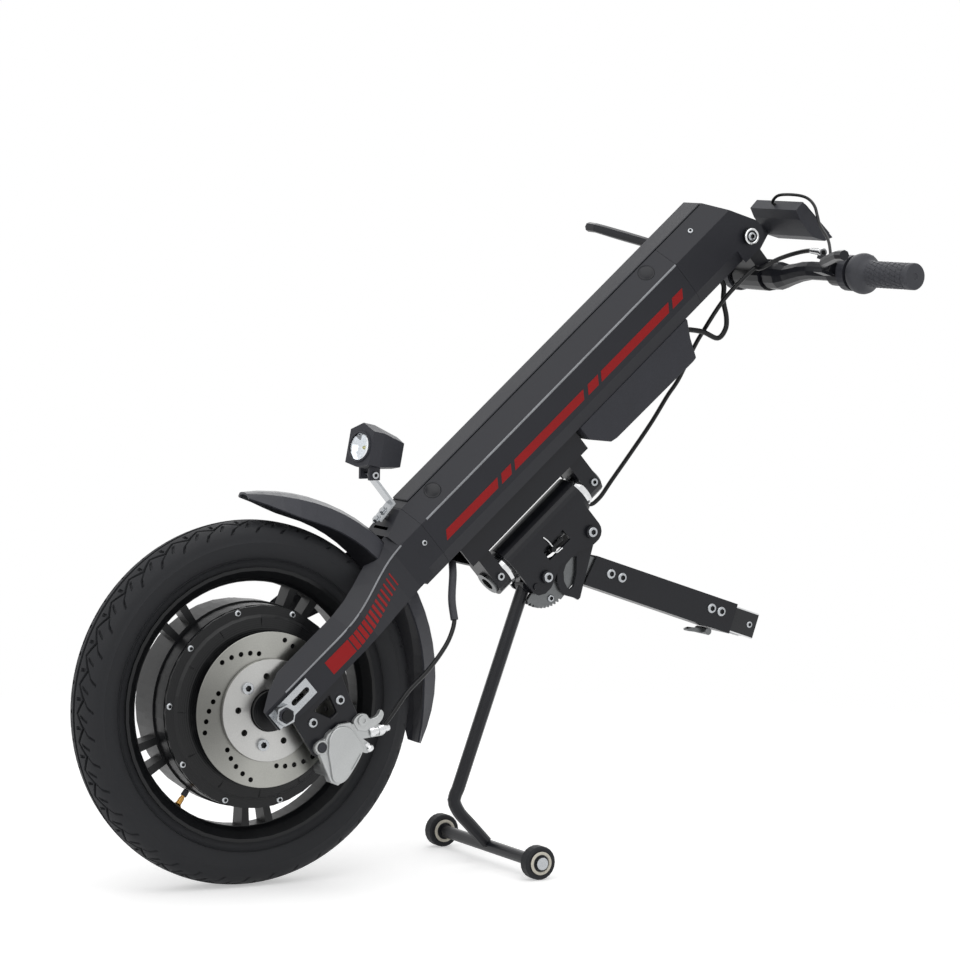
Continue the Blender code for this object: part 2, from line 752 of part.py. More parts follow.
def make_head(parent, start):
    """Cast head with the two ears that hold the stem."""
    low = COLUMN_BACK - 0.0025
    outline = [(start + GAP, low)]
    outline += arc(PIVOT_S, PIVOT_N, EAR_RADIUS, -90, 22, 7)
    outline += [(HEAD_FRONT_S, COLUMN_FRONT), (start + GAP, COLUMN_FRONT)]
    half = COLUMN_HALF_WIDTH
    head = add_object("column_head", prism(outline, -half, half), parent, "anthracite")
    section = column_outline()
    body = loft([[(along, y, n) for y, n in section]
                 for along in (start - 0.01, PIVOT_S - EAR_RADIUS)])
    far = PIVOT_S + EAR_RADIUS + 0.01
    ears = [(COLUMN_HALF_WIDTH, COLUMN_BACK - 0.005), (COLUMN_HALF_WIDTH, COLUMN_RIDGE),
            (COLUMN_FRONT_HALF, COLUMN_FRONT)]
    ears += [(-y, n) for y, n in reversed(ears)]
    body_end = loft([[(along, y, n) for y, n in ears]
                     for along in (PIVOT_S - EAR_RADIUS - 0.002, far)])
    keeper = add_object("column_head_keeper", body, parent, "anthracite")
    combine(keeper, body_end, "UNION")
    keeper.hide_render = True
    keeper.display_type = "WIRE"
    boolean = head.modifiers.new("section", "BOOLEAN")
    boolean.operation = "INTERSECT"
    boolean.solver = "EXACT"
    boolean.object = keeper
    slot_half = STEM_HALF_WIDTH + RUNNING_GAP / 2
    slot = box(SLOT_START, far, -slot_half, slot_half, COLUMN_BACK - 0.02,
               PIVOT_N + EAR_RADIUS + 0.012)
    combine(head, slot, "DIFFERENCE")
    hole = rod(PIVOT_BOLT_RADIUS + PIN_CLEARANCE, -half - 0.01, half + 0.01, 16,
               (PIVOT_S, PIVOT_N))
    combine(head, hole, "DIFFERENCE")
    bolt = revolve([(0.0001, -half - GAP - 0.006), (0.0095, -half - GAP - 0.006),
                    (0.0095, -half - GAP), (PIVOT_BOLT_RADIUS, -half - GAP),
                    (PIVOT_BOLT_RADIUS, half + GAP), (0.0085, half + GAP),
                    (0.0085, half + GAP + 0.006), (0.0001, half + GAP + 0.006)], 16)
    bmesh.ops.remove_doubles(bolt, verts=bolt.verts, dist=0.00025)
    moved(bolt, Matrix.Translation((PIVOT_S, 0, PIVOT_N)))
    add_object("stem_pivot_bolt", bolt, parent, "silver", smooth=30)


def blade_section(s):
    """Return the channel section of the left blade at one place along the fork."""
    top = COLUMN_START + 0.006
    part = min(1.0, max(0.0, (top - s) / (top - BLADE_SPREAD_END)))
    ease = part * part * (3 - 2 * part)
    outer = COLUMN_HALF_WIDTH + (BLADE_OUTER - COLUMN_HALF_WIDTH) * ease
    chamfer = BLADE_CHAMFER + (COLUMN_HALF_WIDTH - COLUMN_FRONT_HALF - BLADE_CHAMFER) * (1 - ease)
    rear = BLADE_REAR_TOP + (BLADE_REAR_LOW - BLADE_REAR_TOP) * ease
    front = COLUMN_FRONT - NOSE_DROP
    front += (BLADE_FRONT_LOW - front) * ease
    nose = min(1.0, (s - BLADE_TIP) / 0.036)
    front = COLUMN_RIDGE + (front - COLUMN_RIDGE) * max(0.12, nose)
    chamfer = chamfer * max(0.12, nose)
    rear = rear * (0.62 + 0.38 * min(1.0, nose))
    wall = BLADE_WALL
    return [(s, -outer, rear), (s, -outer, COLUMN_RIDGE), (s, -outer + chamfer, front),
            (s, -outer + chamfer + wall * 0.4, front - wall), (s, -outer + wall,
                                                                COLUMN_RIDGE - wall * 0.7),
            (s, -outer + wall, rear)]


def make_fork(parent):
    """Cast fork: hollow crown with the column's outline and two flared blades."""
    outline = column_outline()
    start = COLUMN_START
    end = start + CROWN_LENGTH
    crown = add_object("fork", loft([[(along, y, n) for y, n in outline]
                                     for along in (start, end)]), parent, "anthracite")
    nose_cut = [(start - 0.01, COLUMN_FRONT - NOSE_DROP), (start, COLUMN_FRONT - NOSE_DROP),
                (end, COLUMN_FRONT + 0.0005), (end, COLUMN_FRONT + 0.02),
                (start - 0.01, COLUMN_FRONT + 0.02)]
    combine(crown, prism(nose_cut, -0.05, 0.05), "DIFFERENCE")
    top = start + 0.012
    blades = []
    for index in range(BLADE_STATIONS + 1):
        s = top + (BLADE_TIP - top) * index / BLADE_STATIONS
        blades.append(blade_section(s))
    left = loft(blades)
    right = mirrored_pair(left)
    combine(crown, right, "UNION")
    pocket = offset_outline(outline, 0.006)
    combine(crown, loft([[(along, y, n) for y, n in pocket]
                         for along in (start + 0.008, end + 0.01)]), "DIFFERENCE")
    slot = box(-AXLE_RADIUS - PIN_CLEARANCE, 0.042, -BLADE_OUTER - 0.01, BLADE_OUTER + 0.01,
               -AXLE_RADIUS - PIN_CLEARANCE, AXLE_RADIUS + PIN_CLEARANCE)
    combine(crown, slot, "DIFFERENCE")
    shares = [-1 + 2 * index / FENDER_ACROSS for index in range(FENDER_ACROSS + 1)]
    room = [(FENDER_RADIUS + FENDER_CLEARANCE - fender_drop(share),
             share * (FENDER_HALF_WIDTH + FENDER_CLEARANCE)) for share in shares]
    inside = FENDER_RADIUS - FENDER_SKIRT - 0.02
    room += [(inside, room[-1][1]), (inside, room[0][1])]
    around = moved(revolve(room, 72), Matrix.Translation((FENDER_S, 0, FENDER_N)))
    combine(crown, around, "DIFFERENCE")


def make_brake(parent):
    """Caliper bracket, caliper body over the disc and the arm that the cable pulls."""
    outer = -BLADE_OUTER + BLADE_WALL + GAP
    inner = outer + 0.007
    ear = (0.0102, -0.0665)
    outline = [(0.008, -0.012), (0.086, -0.012), (0.086, -0.024), (0.078, -0.047),
               (0.070, -0.078), (0.046, -0.081)]
    outline += arc(*ear, 0.0105, -80, -200, 5)
    plate = add_object("caliper_bracket", prism(outline, outer, inner), parent, "black")
    window = [(0.034, -0.030), (0.060, -0.030), (0.054, -0.052), (0.044, -0.052)]
    combine(plate, prism(window, outer - 0.001, inner + 0.001), "DIFFERENCE")
    add_bevel(plate, 0.001)
    face = [(0.0039, -0.0692), (-0.0024, -0.0903), (-0.0067, -0.1053), (-0.0023, -0.1143),
            (0.0054, -0.1154), (0.0164, -0.1149), (0.0314, -0.1118), (0.0462, -0.1070),
            (0.0541, -0.0859), (0.0575, -0.0700), (0.0446, -0.0607), (0.0267, -0.0593)]
    body = add_object("caliper_body", prism(face, CALIPER_FACE, inner), parent, "silver",
                      smooth=40)
    add_bevel(body, 0.002, 2, angle=60)
    bridge = hull((0.036, -0.088, 0.012), (0.008, -0.103, 0.009))
    combine(body, prism(bridge, inner - 0.001, -0.0535), "UNION")
    combine(body, prism(hull((0.046, -0.076, 0.010), (*CALIPER_STOP, 0.0065)),
                        CALIPER_FACE + 0.0015, outer - GAP), "UNION")
    combine(body, prism(hull((0.030, -0.074, 0.010), (*ear, 0.008)),
                        CALIPER_FACE + 0.002, outer - GAP), "UNION")
    slab = (-0.0828, 0.0)
    combine(body, box(-0.02, 0.12, outer - GAP, inner + GAP, *slab), "DIFFERENCE")
    wall = 0.0016
    slot = revolve([(0.030, DISC_Y + wall), (0.030, DISC_Y - DISC_THICKNESS - wall),
                    (DISC_RADIUS + 0.002, DISC_Y - DISC_THICKNESS - wall),
                    (DISC_RADIUS + 0.002, DISC_Y + wall)], 48)
    combine(body, slot, "DIFFERENCE")
    low = CALIPER_FACE + CALIPER_SHELL
    high = outer - GAP + 0.0002
    place = Matrix.Translation((CALIPER_S, 0, CALIPER_N))
    ring = revolve([(CALIPER_BOSS, low), (0.0165, low), (0.0165, high), (CALIPER_BOSS, high)], 24)
    combine(body, moved(ring, place), "DIFFERENCE")
    sweep = ring_sector(0.012, 0.043, math.radians(-104), math.radians(-35), (high - low) / 2, 6)
    combine(body, moved(sweep, Matrix.Translation((0, (low + high) / 2, 0)) @ place),
            "DIFFERENCE")
    root = ring_sector(0.012, 0.0215, math.radians(-106), math.radians(-24), (high - low) / 2, 6)
    combine(body, moved(root, Matrix.Translation((0, (low + high) / 2, 0)) @ place),
            "DIFFERENCE")
    pivot =make_empty("caliper_pivot", parent, (CALIPER_S, 0, CALIPER_N))
    arm = prism(hull((0, 0, CALIPER_ARM_HUB), (*CALIPER_ARM_REACH, 0.0062)), low + GAP,
                outer - 4 * GAP)
    arm = add_object("caliper_arm", arm, pivot, "silver", smooth=40)
    hole = rod(CALIPER_BOSS + PIN_CLEARANCE, low, high, 20)
    combine(arm, hole, "DIFFERENCE")


def make_rail(parent):
    """Rail under the column, the two steering brackets and the spindle."""
    top = COLUMN_BACK - GAP
    bottom = top - RAIL_DEPTH
    outer = [(-RAIL_HALF_WIDTH, bottom), (RAIL_HALF_WIDTH, bottom),
             (RAIL_HALF_WIDTH, top), (-RAIL_HALF_WIDTH, top)]
    rail = tube_section(outer, offset_outline(outer, 0.003), RAIL_START, RAIL_END)
    add_object("under_rail", rail, parent, "black")
    half = BRACKET_HALF_WIDTH
    seat = bottom - GAP
    lower_end = HEAD_TUBE_START - CUP_LENGTH - 2 * GAP
    upper_start = HEAD_TUBE_END + CUP_LENGTH + 2 * GAP
    for name, low, high in (("lower_bracket", lower_end - BRACKET_LENGTH, lower_end),
                            ("upper_bracket", upper_start, upper_start + UPPER_BRACKET_LENGTH)):
        outline = [(half, seat)] + [(-half, seat)]
        outline += [(half * math.cos(a), STEER_N + half * math.sin(a))
                    for a in [math.radians(180 + 22.5 * k) for k in range(9)]]
        sections = [[(along, y, n) for y, n in outline] for along in (low, high)]
        bracket = add_object(name, loft(sections), parent, "black", smooth=35)
        hole = rod_along((1, 0, 0), SPINDLE_RADIUS + PIN_CLEARANCE, (low - 0.01, 0, STEER_N),
                         high - low + 0.02, 20)
        combine(bracket, hole, "DIFFERENCE")
    start = lower_end - BRACKET_LENGTH - 0.003
    length = upper_start + UPPER_BRACKET_LENGTH + 0.003 - start
    spindle = rod_along((1, 0, 0), SPINDLE_RADIUS, (start, 0, STEER_N), length, 20)
    spindle = add_object("steering_spindle", spindle, parent, "steel", smooth=40)
    socket = rod_along((1, 0, 0), 0.0085, (start - 0.001, 0, STEER_N), 0.016, 12)
    combine(spindle, socket, "DIFFERENCE")


def make_controller_box(parent):
    """Moulded controller housing behind the column."""
    top = COLUMN_BACK - GAP
    outline = [(BOX_START, top), (BOX_START, -0.0672), (BOX_START + 0.0215, -0.0904),
               (BOX_START + 0.0305, -0.0924), (BOX_END - 0.0263, -BOX_DEPTH),
               (BOX_END - 0.0200, -0.0940), (BOX_END - 0.0108, -0.0696),
               (BOX_END, top - 0.0022), (BOX_END, top)]
    half = BOX_HALF_WIDTH
    housing = add_object("controller_box", prism(outline, -half, half), parent, "black")
    add_bevel(housing, 0.0030, 2, angle=60)


def fender_drop(share):
    """Return how far the skirt has dropped at one share of the half width."""
    return FENDER_SKIRT * (1 - math.sqrt(max(0.0, 1 - abs(share) ** 2.4)))


def make_fender(parent):
    """Pressed mudguard with rolled skirts and pointed ends."""
    centre = column_to_ground(FENDER_S, 0, FENDER_N)
    steps = 22
    across = FENDER_ACROSS
    bm = bmesh.new()
    top = []
    for index in range(steps + 1):
        part = index / steps
        angle = FENDER_FRONT + (FENDER_REAR - FENDER_FRONT) * part
        reach = min(1.0, min(part, 1 - part) * steps / 4.0)
        taper = 0.22 + 0.78 * math.sin(reach * math.pi / 2)
        row = []
        for side in range(across + 1):
            share = -1 + 2 * side / across
            y = FENDER_HALF_WIDTH * share * (0.2 + 0.8 * taper)
            radius = FENDER_RADIUS - taper * fender_drop(share)
            row.append(bm.verts.new((centre.x + radius * math.cos(angle), y,
                                     centre.z + radius * math.sin(angle))))
        top.append(row)
    for index in range(steps):
        for side in range(across):
            bm.faces.new((top[index][side], top[index][side + 1],
                          top[index + 1][side + 1], top[index + 1][side]))
    fender = add_object("fender", bm, parent, "black", smooth=60)
    solid = fender.modifiers.new("sheet", "SOLIDIFY")
    solid.thickness = FENDER_THICKNESS
    solid.offset = -1.0
    solid.use_even_offset = True


def make_lamp(frame, pivot):
    """Headlight on its bent strap, which stands on the fork's nose."""
    pivot_at = Vector((LAMP_X, LAMP_Z))
    bend = Vector(STRAP_BEND)
    foot = Vector(STRAP_FOOT)
    stem_way = (bend - pivot_at).normalized()
    foot_way = (foot - bend).normalized()
    half = STRAP_THICKNESS / 2
    stem_side = Vector((-stem_way.y, stem_way.x)) * half
    foot_side = Vector((-foot_way.y, foot_way.x)) * half
    corner = (stem_side + foot_side).normalized() * half * 1.25
    start = pivot_at - stem_way * 0.003
    outline = [start + stem_side, bend + corner, foot + foot_side,
               foot - foot_side, bend - corner, start - stem_side]
    wide = STRAP_HALF_WIDTH
    strap = add_object("lamp_strap", prism([tuple(point) for point in outline], -wide, wide),
                       frame, "silver")
    middle = bend.lerp(foot, 0.55)
    nose = column_to_ground(0.2780, 0, COLUMN_FRONT - 0.0028)
    reach = Vector((nose.x - middle.x, 0, nose.z - middle.y))
    combine(strap, rod_along(reach, 0.0045, (middle.x, 0, middle.y), reach.length - 0.0008, 12),
            "UNION")
    shape = [(0.0, 0.0285), (-0.0205, 0.0195), (-0.0205, -0.0200), (0.0, -0.0240),
             (0.0205, -0.0200), (0.0205, 0.0195)]
    turn = Matrix.Rotation(LAMP_TURN, 4, "Z") @ Matrix.Rotation(LAMP_TILT, 4, "Y")
    sections = []
    for along, wide_by, high_by in ((LAMP_FRONT, 1.0, 1.0), (LAMP_FRONT + 0.018, 1.0, 1.0),
                                    (LAMP_FRONT + LAMP_LENGTH, 0.68, 0.72)):
        sections.append([(along, y * wide_by, z * high_by + LAMP_LIFT) for y, z in shape])
    housing = moved(loft(sections), turn)
    housing = add_object("lamp_housing", housing, pivot, "black")
    cup = rod_along((1, 0, 0), LAMP_LENS_RADIUS + 0.0012, (LAMP_FRONT - 0.001, 0, LAMP_LIFT),
                    0.012, 24)
    combine(housing, moved(cup, turn), "DIFFERENCE")
    ears = box(-0.007, 0.007, -0.0135, -0.0095, -0.006, 0.013)
    ears = box(-0.007, 0.007, 0.0095, 0.0135, -0.006, 0.013, ears)
    combine(housing, ears, "UNION")
    lens = rod_along((1, 0, 0), LAMP_LENS_RADIUS, (LAMP_FRONT + 0.001, 0, LAMP_LIFT), 0.005, 24)
    add_object("lamp_lens", moved(lens, turn), pivot, "glass", smooth=40)


def make_dock(parent):
    """Docking head: head tube with two tangent cheeks, cups and bolts."""
    tube = rod_along((1, 0, 0), HEAD_TUBE_RADIUS, (HEAD_TUBE_START, 0, 0),
                     HEAD_TUBE_END - HEAD_TUBE_START, 32)
    head = add_object("dock_head", tube, parent, "black", smooth=35)
    tilt_n = TILT_N - STEER_N
    upper_n = UPPER_BOLT_N - STEER_N
    edge = UPPER_BOLT_S + 0.015
    outline = [(HEAD_TUBE_START, 0.0), (HEAD_TUBE_START, -0.040), (0.3580, -0.0480),
               (0.3660, -0.0525), (0.3760, -0.0525), (0.3850, -0.0490), (0.4020, -0.0405),
               (0.4320, -0.0455), (0.4460, -0.0530)]
    outline += arc(UPPER_BOLT_S, upper_n, 0.0150, -100, 0, 5)
    outline += [(edge, 0.0)]
    half = HEAD_TUBE_RADIUS
    combine(head, prism(outline, -half, -half + CHEEK_THICKNESS), "UNION")
    combine(head, prism(outline, half - CHEEK_THICKNESS, half), "UNION")
    bore = rod_along((1, 0, 0), HEAD_TUBE_BORE, (HEAD_TUBE_START - 0.01, 0, 0),
                     HEAD_TUBE_END - HEAD_TUBE_START + 0.02, 24)
    combine(head, bore, "DIFFERENCE")
    holes = None
    for s, n, radius in ((TILT_S, tilt_n, DOCK_BOLT_RADIUS),
                         (UPPER_BOLT_S, upper_n, DOCK_BOLT_RADIUS),
                         (STAND_S, STAND_N - STEER_N, STAND_PIN_RADIUS)):
        holes = rod(radius + PIN_CLEARANCE, -half - 0.01, half + 0.01, 12, (s, n), holes)
    reach = 0.0125 + LATCH_TRAVEL
    slot = [(LATCH_S - reach, LATCH_N - 0.008), (LATCH_S + reach, LATCH_N - 0.008),
            (LATCH_S + reach, LATCH_N + 0.008), (LATCH_S - reach, LATCH_N + 0.008)]
    holes = prism(slot, -half - 0.001, -half + CHEEK_THICKNESS + 0.001, holes)
    combine(head, holes, "DIFFERENCE")
    for word, start in (("lower", HEAD_TUBE_START - GAP - CUP_LENGTH),
                        ("upper", HEAD_TUBE_END + GAP)):
        bore = SPINDLE_RADIUS + PIN_CLEARANCE
        cup = revolve([(bore, 0), (bore, CUP_LENGTH), (CUP_RADIUS - 0.001, CUP_LENGTH),
                       (CUP_RADIUS, CUP_LENGTH / 2), (CUP_RADIUS - 0.001, 0)], 24)
        turn = Matrix.Rotation(-math.pi / 2, 4, "Z")
        cup = moved(cup, Matrix.Translation((start, 0, 0)) @ turn)
        add_object("headset_cup_" + word, cup, parent, "silver", smooth=30)
    near = half + GAP
    for name, s, n in (("arm_bolt", TILT_S, tilt_n), ("lever_bolt", UPPER_BOLT_S, upper_n)):
        bolt = rod(DOCK_BOLT_RADIUS, -near - 0.002, near + 0.003, 12)
        bolt = add_object(name, moved(bolt, Matrix.Translation((s, 0, n))), parent, "silver",
                          smooth=30)
        combine(bolt, rod(DOCK_BOLT_HEAD, -near - 0.004, -near, 16, (s, n)), "UNION")
        combine(bolt, rod(DOCK_BOLT_HEAD, near, near + 0.005, 6, (s, n)), "UNION")


def make_release(pivot):
    """Finger lever with an oval window, between the near cheek and the arm's lug."""
    low = -HEAD_TUBE_RADIUS + CHEEK_THICKNESS + GAP
    high = -LUG_HALF_WIDTH - GAP
    outline = arc(0, 0, 0.0105, -25, 190, 8)
    outline += [(-0.0390, -0.0330), (-0.0435, -0.0450), (-0.0430, -0.0600), (-0.0385, -0.0700),
                (-0.0310, -0.0765), (-0.0180, -0.0800), (-0.0135, -0.0825), (-0.0105, -0.0800),
                (-0.0065, -0.0640)]
    lever = add_object("release_lever", prism(outline, low, high), pivot, "black", smooth=30)
    window = [(-0.0165, -0.0290), (-0.0240, -0.0310), (-0.0315, -0.0390), (-0.0345, -0.0480),
              (-0.0335, -0.0590), (-0.0290, -0.0670), (-0.0240, -0.0695), (-0.0200, -0.0660),
              (-0.0165, -0.0500)]
    combine(lever, prism(window, low - 0.001, high + 0.001), "DIFFERENCE")
    hole = rod(DOCK_BOLT_RADIUS + PIN_CLEARANCE, low - 0.001, high + 0.001, 12)
    combine(lever, hole, "DIFFERENCE")


def make_latch(parent):
    """Spring pin with a finger knob in the cheek's slot."""
    y = -HEAD_TUBE_RADIUS + 0.002
    pin = rod_along((1, 0, 0), 0.0022, (LATCH_S - 0.012, y, LATCH_N), 0.024, 10)
    pin = add_object("latch_pin", pin, parent, "silver", smooth=40)
    combine(pin, rod_along((0, -1, 0), 0.0035, (LATCH_S - 0.007, y, LATCH_N), 0.006, 10), "UNION")


def make_arm(pivot, slider, clamp):
    """Lug with the toothed sector, outer tube, sliding inner tube and clamp lever."""
    teeth = []
    pitch = SECTOR_SWEEP / SECTOR_TEETH
    for tooth in range(SECTOR_TEETH):
        base = SECTOR_START + tooth * pitch
        teeth += arc(0, 0, SECTOR_RADIUS - TOOTH_DEPTH, base, base + pitch * 0.3, 1)
        teeth += arc(0, 0, SECTOR_RADIUS, base + pitch * 0.5, base + pitch * 0.8, 1)
    insert_low = ARM_LIFT - ARM_HEIGHT / 2 + ARM_WALL + GAP
    insert_high = ARM_LIFT + ARM_HEIGHT / 2 - ARM_WALL - GAP
    insert_end = ARM_START + 0.060
    outline = teeth + [(ARM_START - 0.012, insert_low), (insert_end, insert_low),
                       (insert_end, insert_high), (ARM_START - 0.016, insert_high)]
    outline += arc(0, 0, LUG_HUB_RADIUS, 80, 250, 7)
    half = LUG_HALF_WIDTH
    lug = add_object("arm_lug", prism(outline, -half, -half + LUG_THICKNESS), pivot, "steel")
    other = [(ARM_START - 0.012, insert_low), (insert_end, insert_low),
             (insert_end, insert_high), (ARM_START - 0.016, insert_high)]
    other += arc(0, 0, LUG_HUB_RADIUS, 80, 300, 8)
    combine(lug, prism(other, half - LUG_THICKNESS, half), "UNION")
    web = box(ARM_START + 0.010, insert_end - 0.001, -half + 0.001, half - 0.001,
              insert_low + 0.001, insert_high - 0.001)
    combine(lug, web, "UNION")
    pin_hole = rod(DOCK_BOLT_RADIUS + PIN_CLEARANCE, -half - 0.001, half + 0.001, 12)
    combine(lug, pin_hole, "DIFFERENCE")
    reach = math.hypot(STAND_S - TILT_S, STAND_N - TILT_N)
    clear = STAND_PIN_RADIUS + 0.0007
    slot = ring_sector(reach - clear, reach + clear, *SECTOR_SLOT, LUG_THICKNESS / 2 + 0.001, 6)
    middle = -half + LUG_THICKNESS / 2
    combine(lug, moved(slot, Matrix.Translation((0, middle, 0))), "DIFFERENCE")
    wide = ARM_WIDTH / 2
    outer = [(-wide, ARM_LIFT - ARM_HEIGHT / 2), (wide, ARM_LIFT - ARM_HEIGHT / 2),
             (wide, ARM_LIFT + ARM_HEIGHT / 2), (-wide, ARM_LIFT + ARM_HEIGHT / 2)]
    tube = tube_section(outer, offset_outline(outer, ARM_WALL), ARM_START, ARM_END)
    tube = add_object("arm_tube", tube, pivot, "black")
    low = ARM_LIFT - ARM_HEIGHT / 2
    high = ARM_LIFT + ARM_HEIGHT / 2 + 0.001
    corner = [(ARM_START - 0.001, low), (ARM_START + ARM_SLANT, high), (ARM_START - 0.001, high)]
    combine(tube, prism(corner, -wide - 0.001, wide + 0.001), "DIFFERENCE")
    size = INNER_SIZE / 2
    inner = [(-size, -size), (size, -size), (size, size), (-size, size)]
    slide = tube_section(inner, offset_outline(inner, INNER_WALL), INNER_START, INNER_END)
    add_object("inner_tube", slide, slider, "silver")
    lever = rod(0.0045, -0.013, 0.013, 10)
    lever = add_object("clamp_lever", lever, clamp, "steel", smooth=30)
    blade = [(0.003, -0.0025), (0.003, 0.0025), (-0.0200, -0.0015), (-0.0250, -0.0050),
             (-0.0235, -0.0070)]
    combine(lever, prism(blade, -0.005, 0.005), "UNION")


def make_stand(pivot, left, right, foot):
    """Folding parking stand; foot is the crossbar's centre under the pivot."""
    top = Vector((-0.0030, 0, -0.0040))
    knee = Vector((-0.0880, 0, -0.2430))
    heel = Vector((-0.0930, 0, -0.2560))
    turn = Vector((-0.0860, 0, -0.2710))
    bend = smooth_route([knee, heel, turn, turn.lerp(foot, 0.35)], 0.006)
    points = [top, top.lerp(knee, 0.5), *bend]
    seat = (points[-1] - foot).normalized() * (CROSSBAR_RADIUS - 0.001)
    points.append(foot + seat)
    leg = add_object("stand_leg", sweep(points, STAND_TUBE_RADIUS, 12), pivot, "black",
                     smooth=40)
    knuckle = STAND_KNUCKLE_HALF
    combine(leg, rod(STAND_KNUCKLE_RADIUS, -knuckle, knuckle, 16), "UNION")
    pin = HEAD_TUBE_RADIUS + 0.002
    combine(leg, rod(STAND_PIN_RADIUS, -pin, pin, 12), "UNION")
    half = ROLLER_SPACING / 2 - ROLLER_WIDTH / 2 - GAP * 2
    hub = CROSSBAR_RADIUS + GAP
    combine(leg, moved(rod(hub, -half, half, 20), Matrix.Translation(foot)), "DIFFERENCE")
    bore = CROSSBAR_RADIUS - CROSSBAR_WALL
    bar = revolve([(bore, -half), (CROSSBAR_RADIUS, -half), (CROSSBAR_RADIUS, half),
                   (bore, half)], 20)
    add_object("stand_crossbar", moved(bar, Matrix.Translation(foot)), pivot, "black", smooth=40)
    end = half + ROLLER_WIDTH + 4 * GAP
    rod_radius = bore - GAP
    axle = add_object("stand_axle", rod(rod_radius, -end - 0.001, end + 0.001, 14,
                                        (foot.x, foot.z)), pivot, "silver", smooth=30)
    for low in (-end - 0.003, end):
        combine(axle, rod(0.0075, low, low + 0.003, 14, (foot.x, foot.z)), "UNION")
    wide = ROLLER_WIDTH / 2
    for name, parent in (("stand_wheel_left", left), ("stand_wheel_right", right)):
        profile = [(rod_radius + PIN_CLEARANCE, -wide), (0.0130, -wide), (0.0135, -wide + 0.001),
                   (0.0185, -wide), (ROLLER_RADIUS, -wide + 0.002)]
        profile += [(radius, -y) for radius, y in reversed(profile)]
        add_object(name, revolve(profile, 22), parent, "rubber", smooth=40)


def make_stem(pivot):
    """Stem that joins the column head to the bar clamp, in column directions."""
    half = STEM_HALF_WIDTH
    outline = arc(0, 0, 0.019, 0, 180, 8)
    outline += [(-0.009, -0.020), (-0.009, -BAR_DROP + 0.014)]
    outline += arc(0, -BAR_DROP, STEM_CLAMP_RADIUS, 140, 400, 12)
    outline += [(0.009, -BAR_DROP + 0.018), (0.009, -0.020)]
    stem = add_object("stem", prism(outline, -half, half), pivot, "black", smooth=40)
    holes = rod(PIVOT_BOLT_RADIUS + PIN_CLEARANCE, -half - 0.01, half + 0.01, 16)
    holes = rod(BAR_CENTRE_RADIUS + GAP, -half - 0.01, half + 0.01, 24, (0, -BAR_DROP), holes)
    combine(stem, holes, "DIFFERENCE")


def bar_point(y):
    """Return the bar's centre line at one distance from the middle."""
    far = abs(y)
    bend_start = 0.055
    bend_end = 0.120
    flat = min(1.0, max(0.0, (far - bend_start) / (bend_end - bend_start)))
    ease = flat * flat * (3 - 2 * flat)
    sweep = max(0.0, far - bend_end) * math.tan(GRIP_SWEEP)
    return Vector((BAR_BACK * ease + sweep, y, BAR_RISE * ease))


def bar_end_frame(side):
    """Return the start of one grip, its direction and its frame."""
    grip_start = BAR_HALF_LENGTH - GRIP_LENGTH * math.cos(GRIP_SWEEP)
    origin = bar_point(side * grip_start)
    direction = (bar_point(side * BAR_HALF_LENGTH) - origin).normalized()
    turn = Vector((0, 1, 0)).rotation_difference(direction).to_matrix().to_4x4()
    return Matrix.Translation(origin) @ turn


def make_handlebar(bar):
    """Swept bar with its two grips."""
    inner_end = BAR_HALF_LENGTH - GRIP_WALL_END - GAP * 2
    stops = [0.0, 0.034, 0.0345, 0.055, 0.070, 0.085, 0.100, 0.120, inner_end]
    widths = [BAR_CENTRE_RADIUS, BAR_CENTRE_RADIUS, 0.0175, 0.0170, 0.0135, 0.0125,
              0.0120, BAR_RADIUS, BAR_RADIUS]
    points = []
    radii = []
    for stop, width in list(zip(stops, widths))[:0:-1]:
        points.append(bar_point(-stop))
        radii.append(width)
    for stop, width in zip(stops, widths):
        points.append(bar_point(stop))
        radii.append(width)
    add_tube("handlebar_tube", points, BAR_RADIUS, bar, "black", 4, radii)
    bore = BAR_RADIUS + GAP
    profile = [(bore, -0.012), (FLANGE_RADIUS * 0.72, -0.012), (FLANGE_RADIUS * 0.95, -0.007),
               (FLANGE_RADIUS, 0.0), (FLANGE_RADIUS * 0.93, 0.006),
               (GRIP_RADIUS + 0.001, 0.010), (GRIP_RADIUS, 0.015),
               (GRIP_RADIUS, GRIP_LENGTH - 0.004), (GRIP_RADIUS - 0.002, GRIP_LENGTH),
               (0.0020, GRIP_LENGTH), (0.0020, GRIP_LENGTH - GRIP_WALL_END),
               (bore, GRIP_LENGTH - GRIP_WALL_END)]
    for word, side in SIDES:
        grip = moved(revolve(profile, 20), bar_end_frame(side))
        add_object("grip_" + word, grip, bar, "rubber", smooth=40)


def lever_plane(word):
    """Return the forward direction of one lever's plane and its normal."""
    tilt = LEVER_TILTS[word]
    forward = Vector((-math.cos(tilt), 0, math.sin(tilt)))
    normal = Vector((math.sin(tilt), 0, math.cos(tilt)))
    return forward, normal


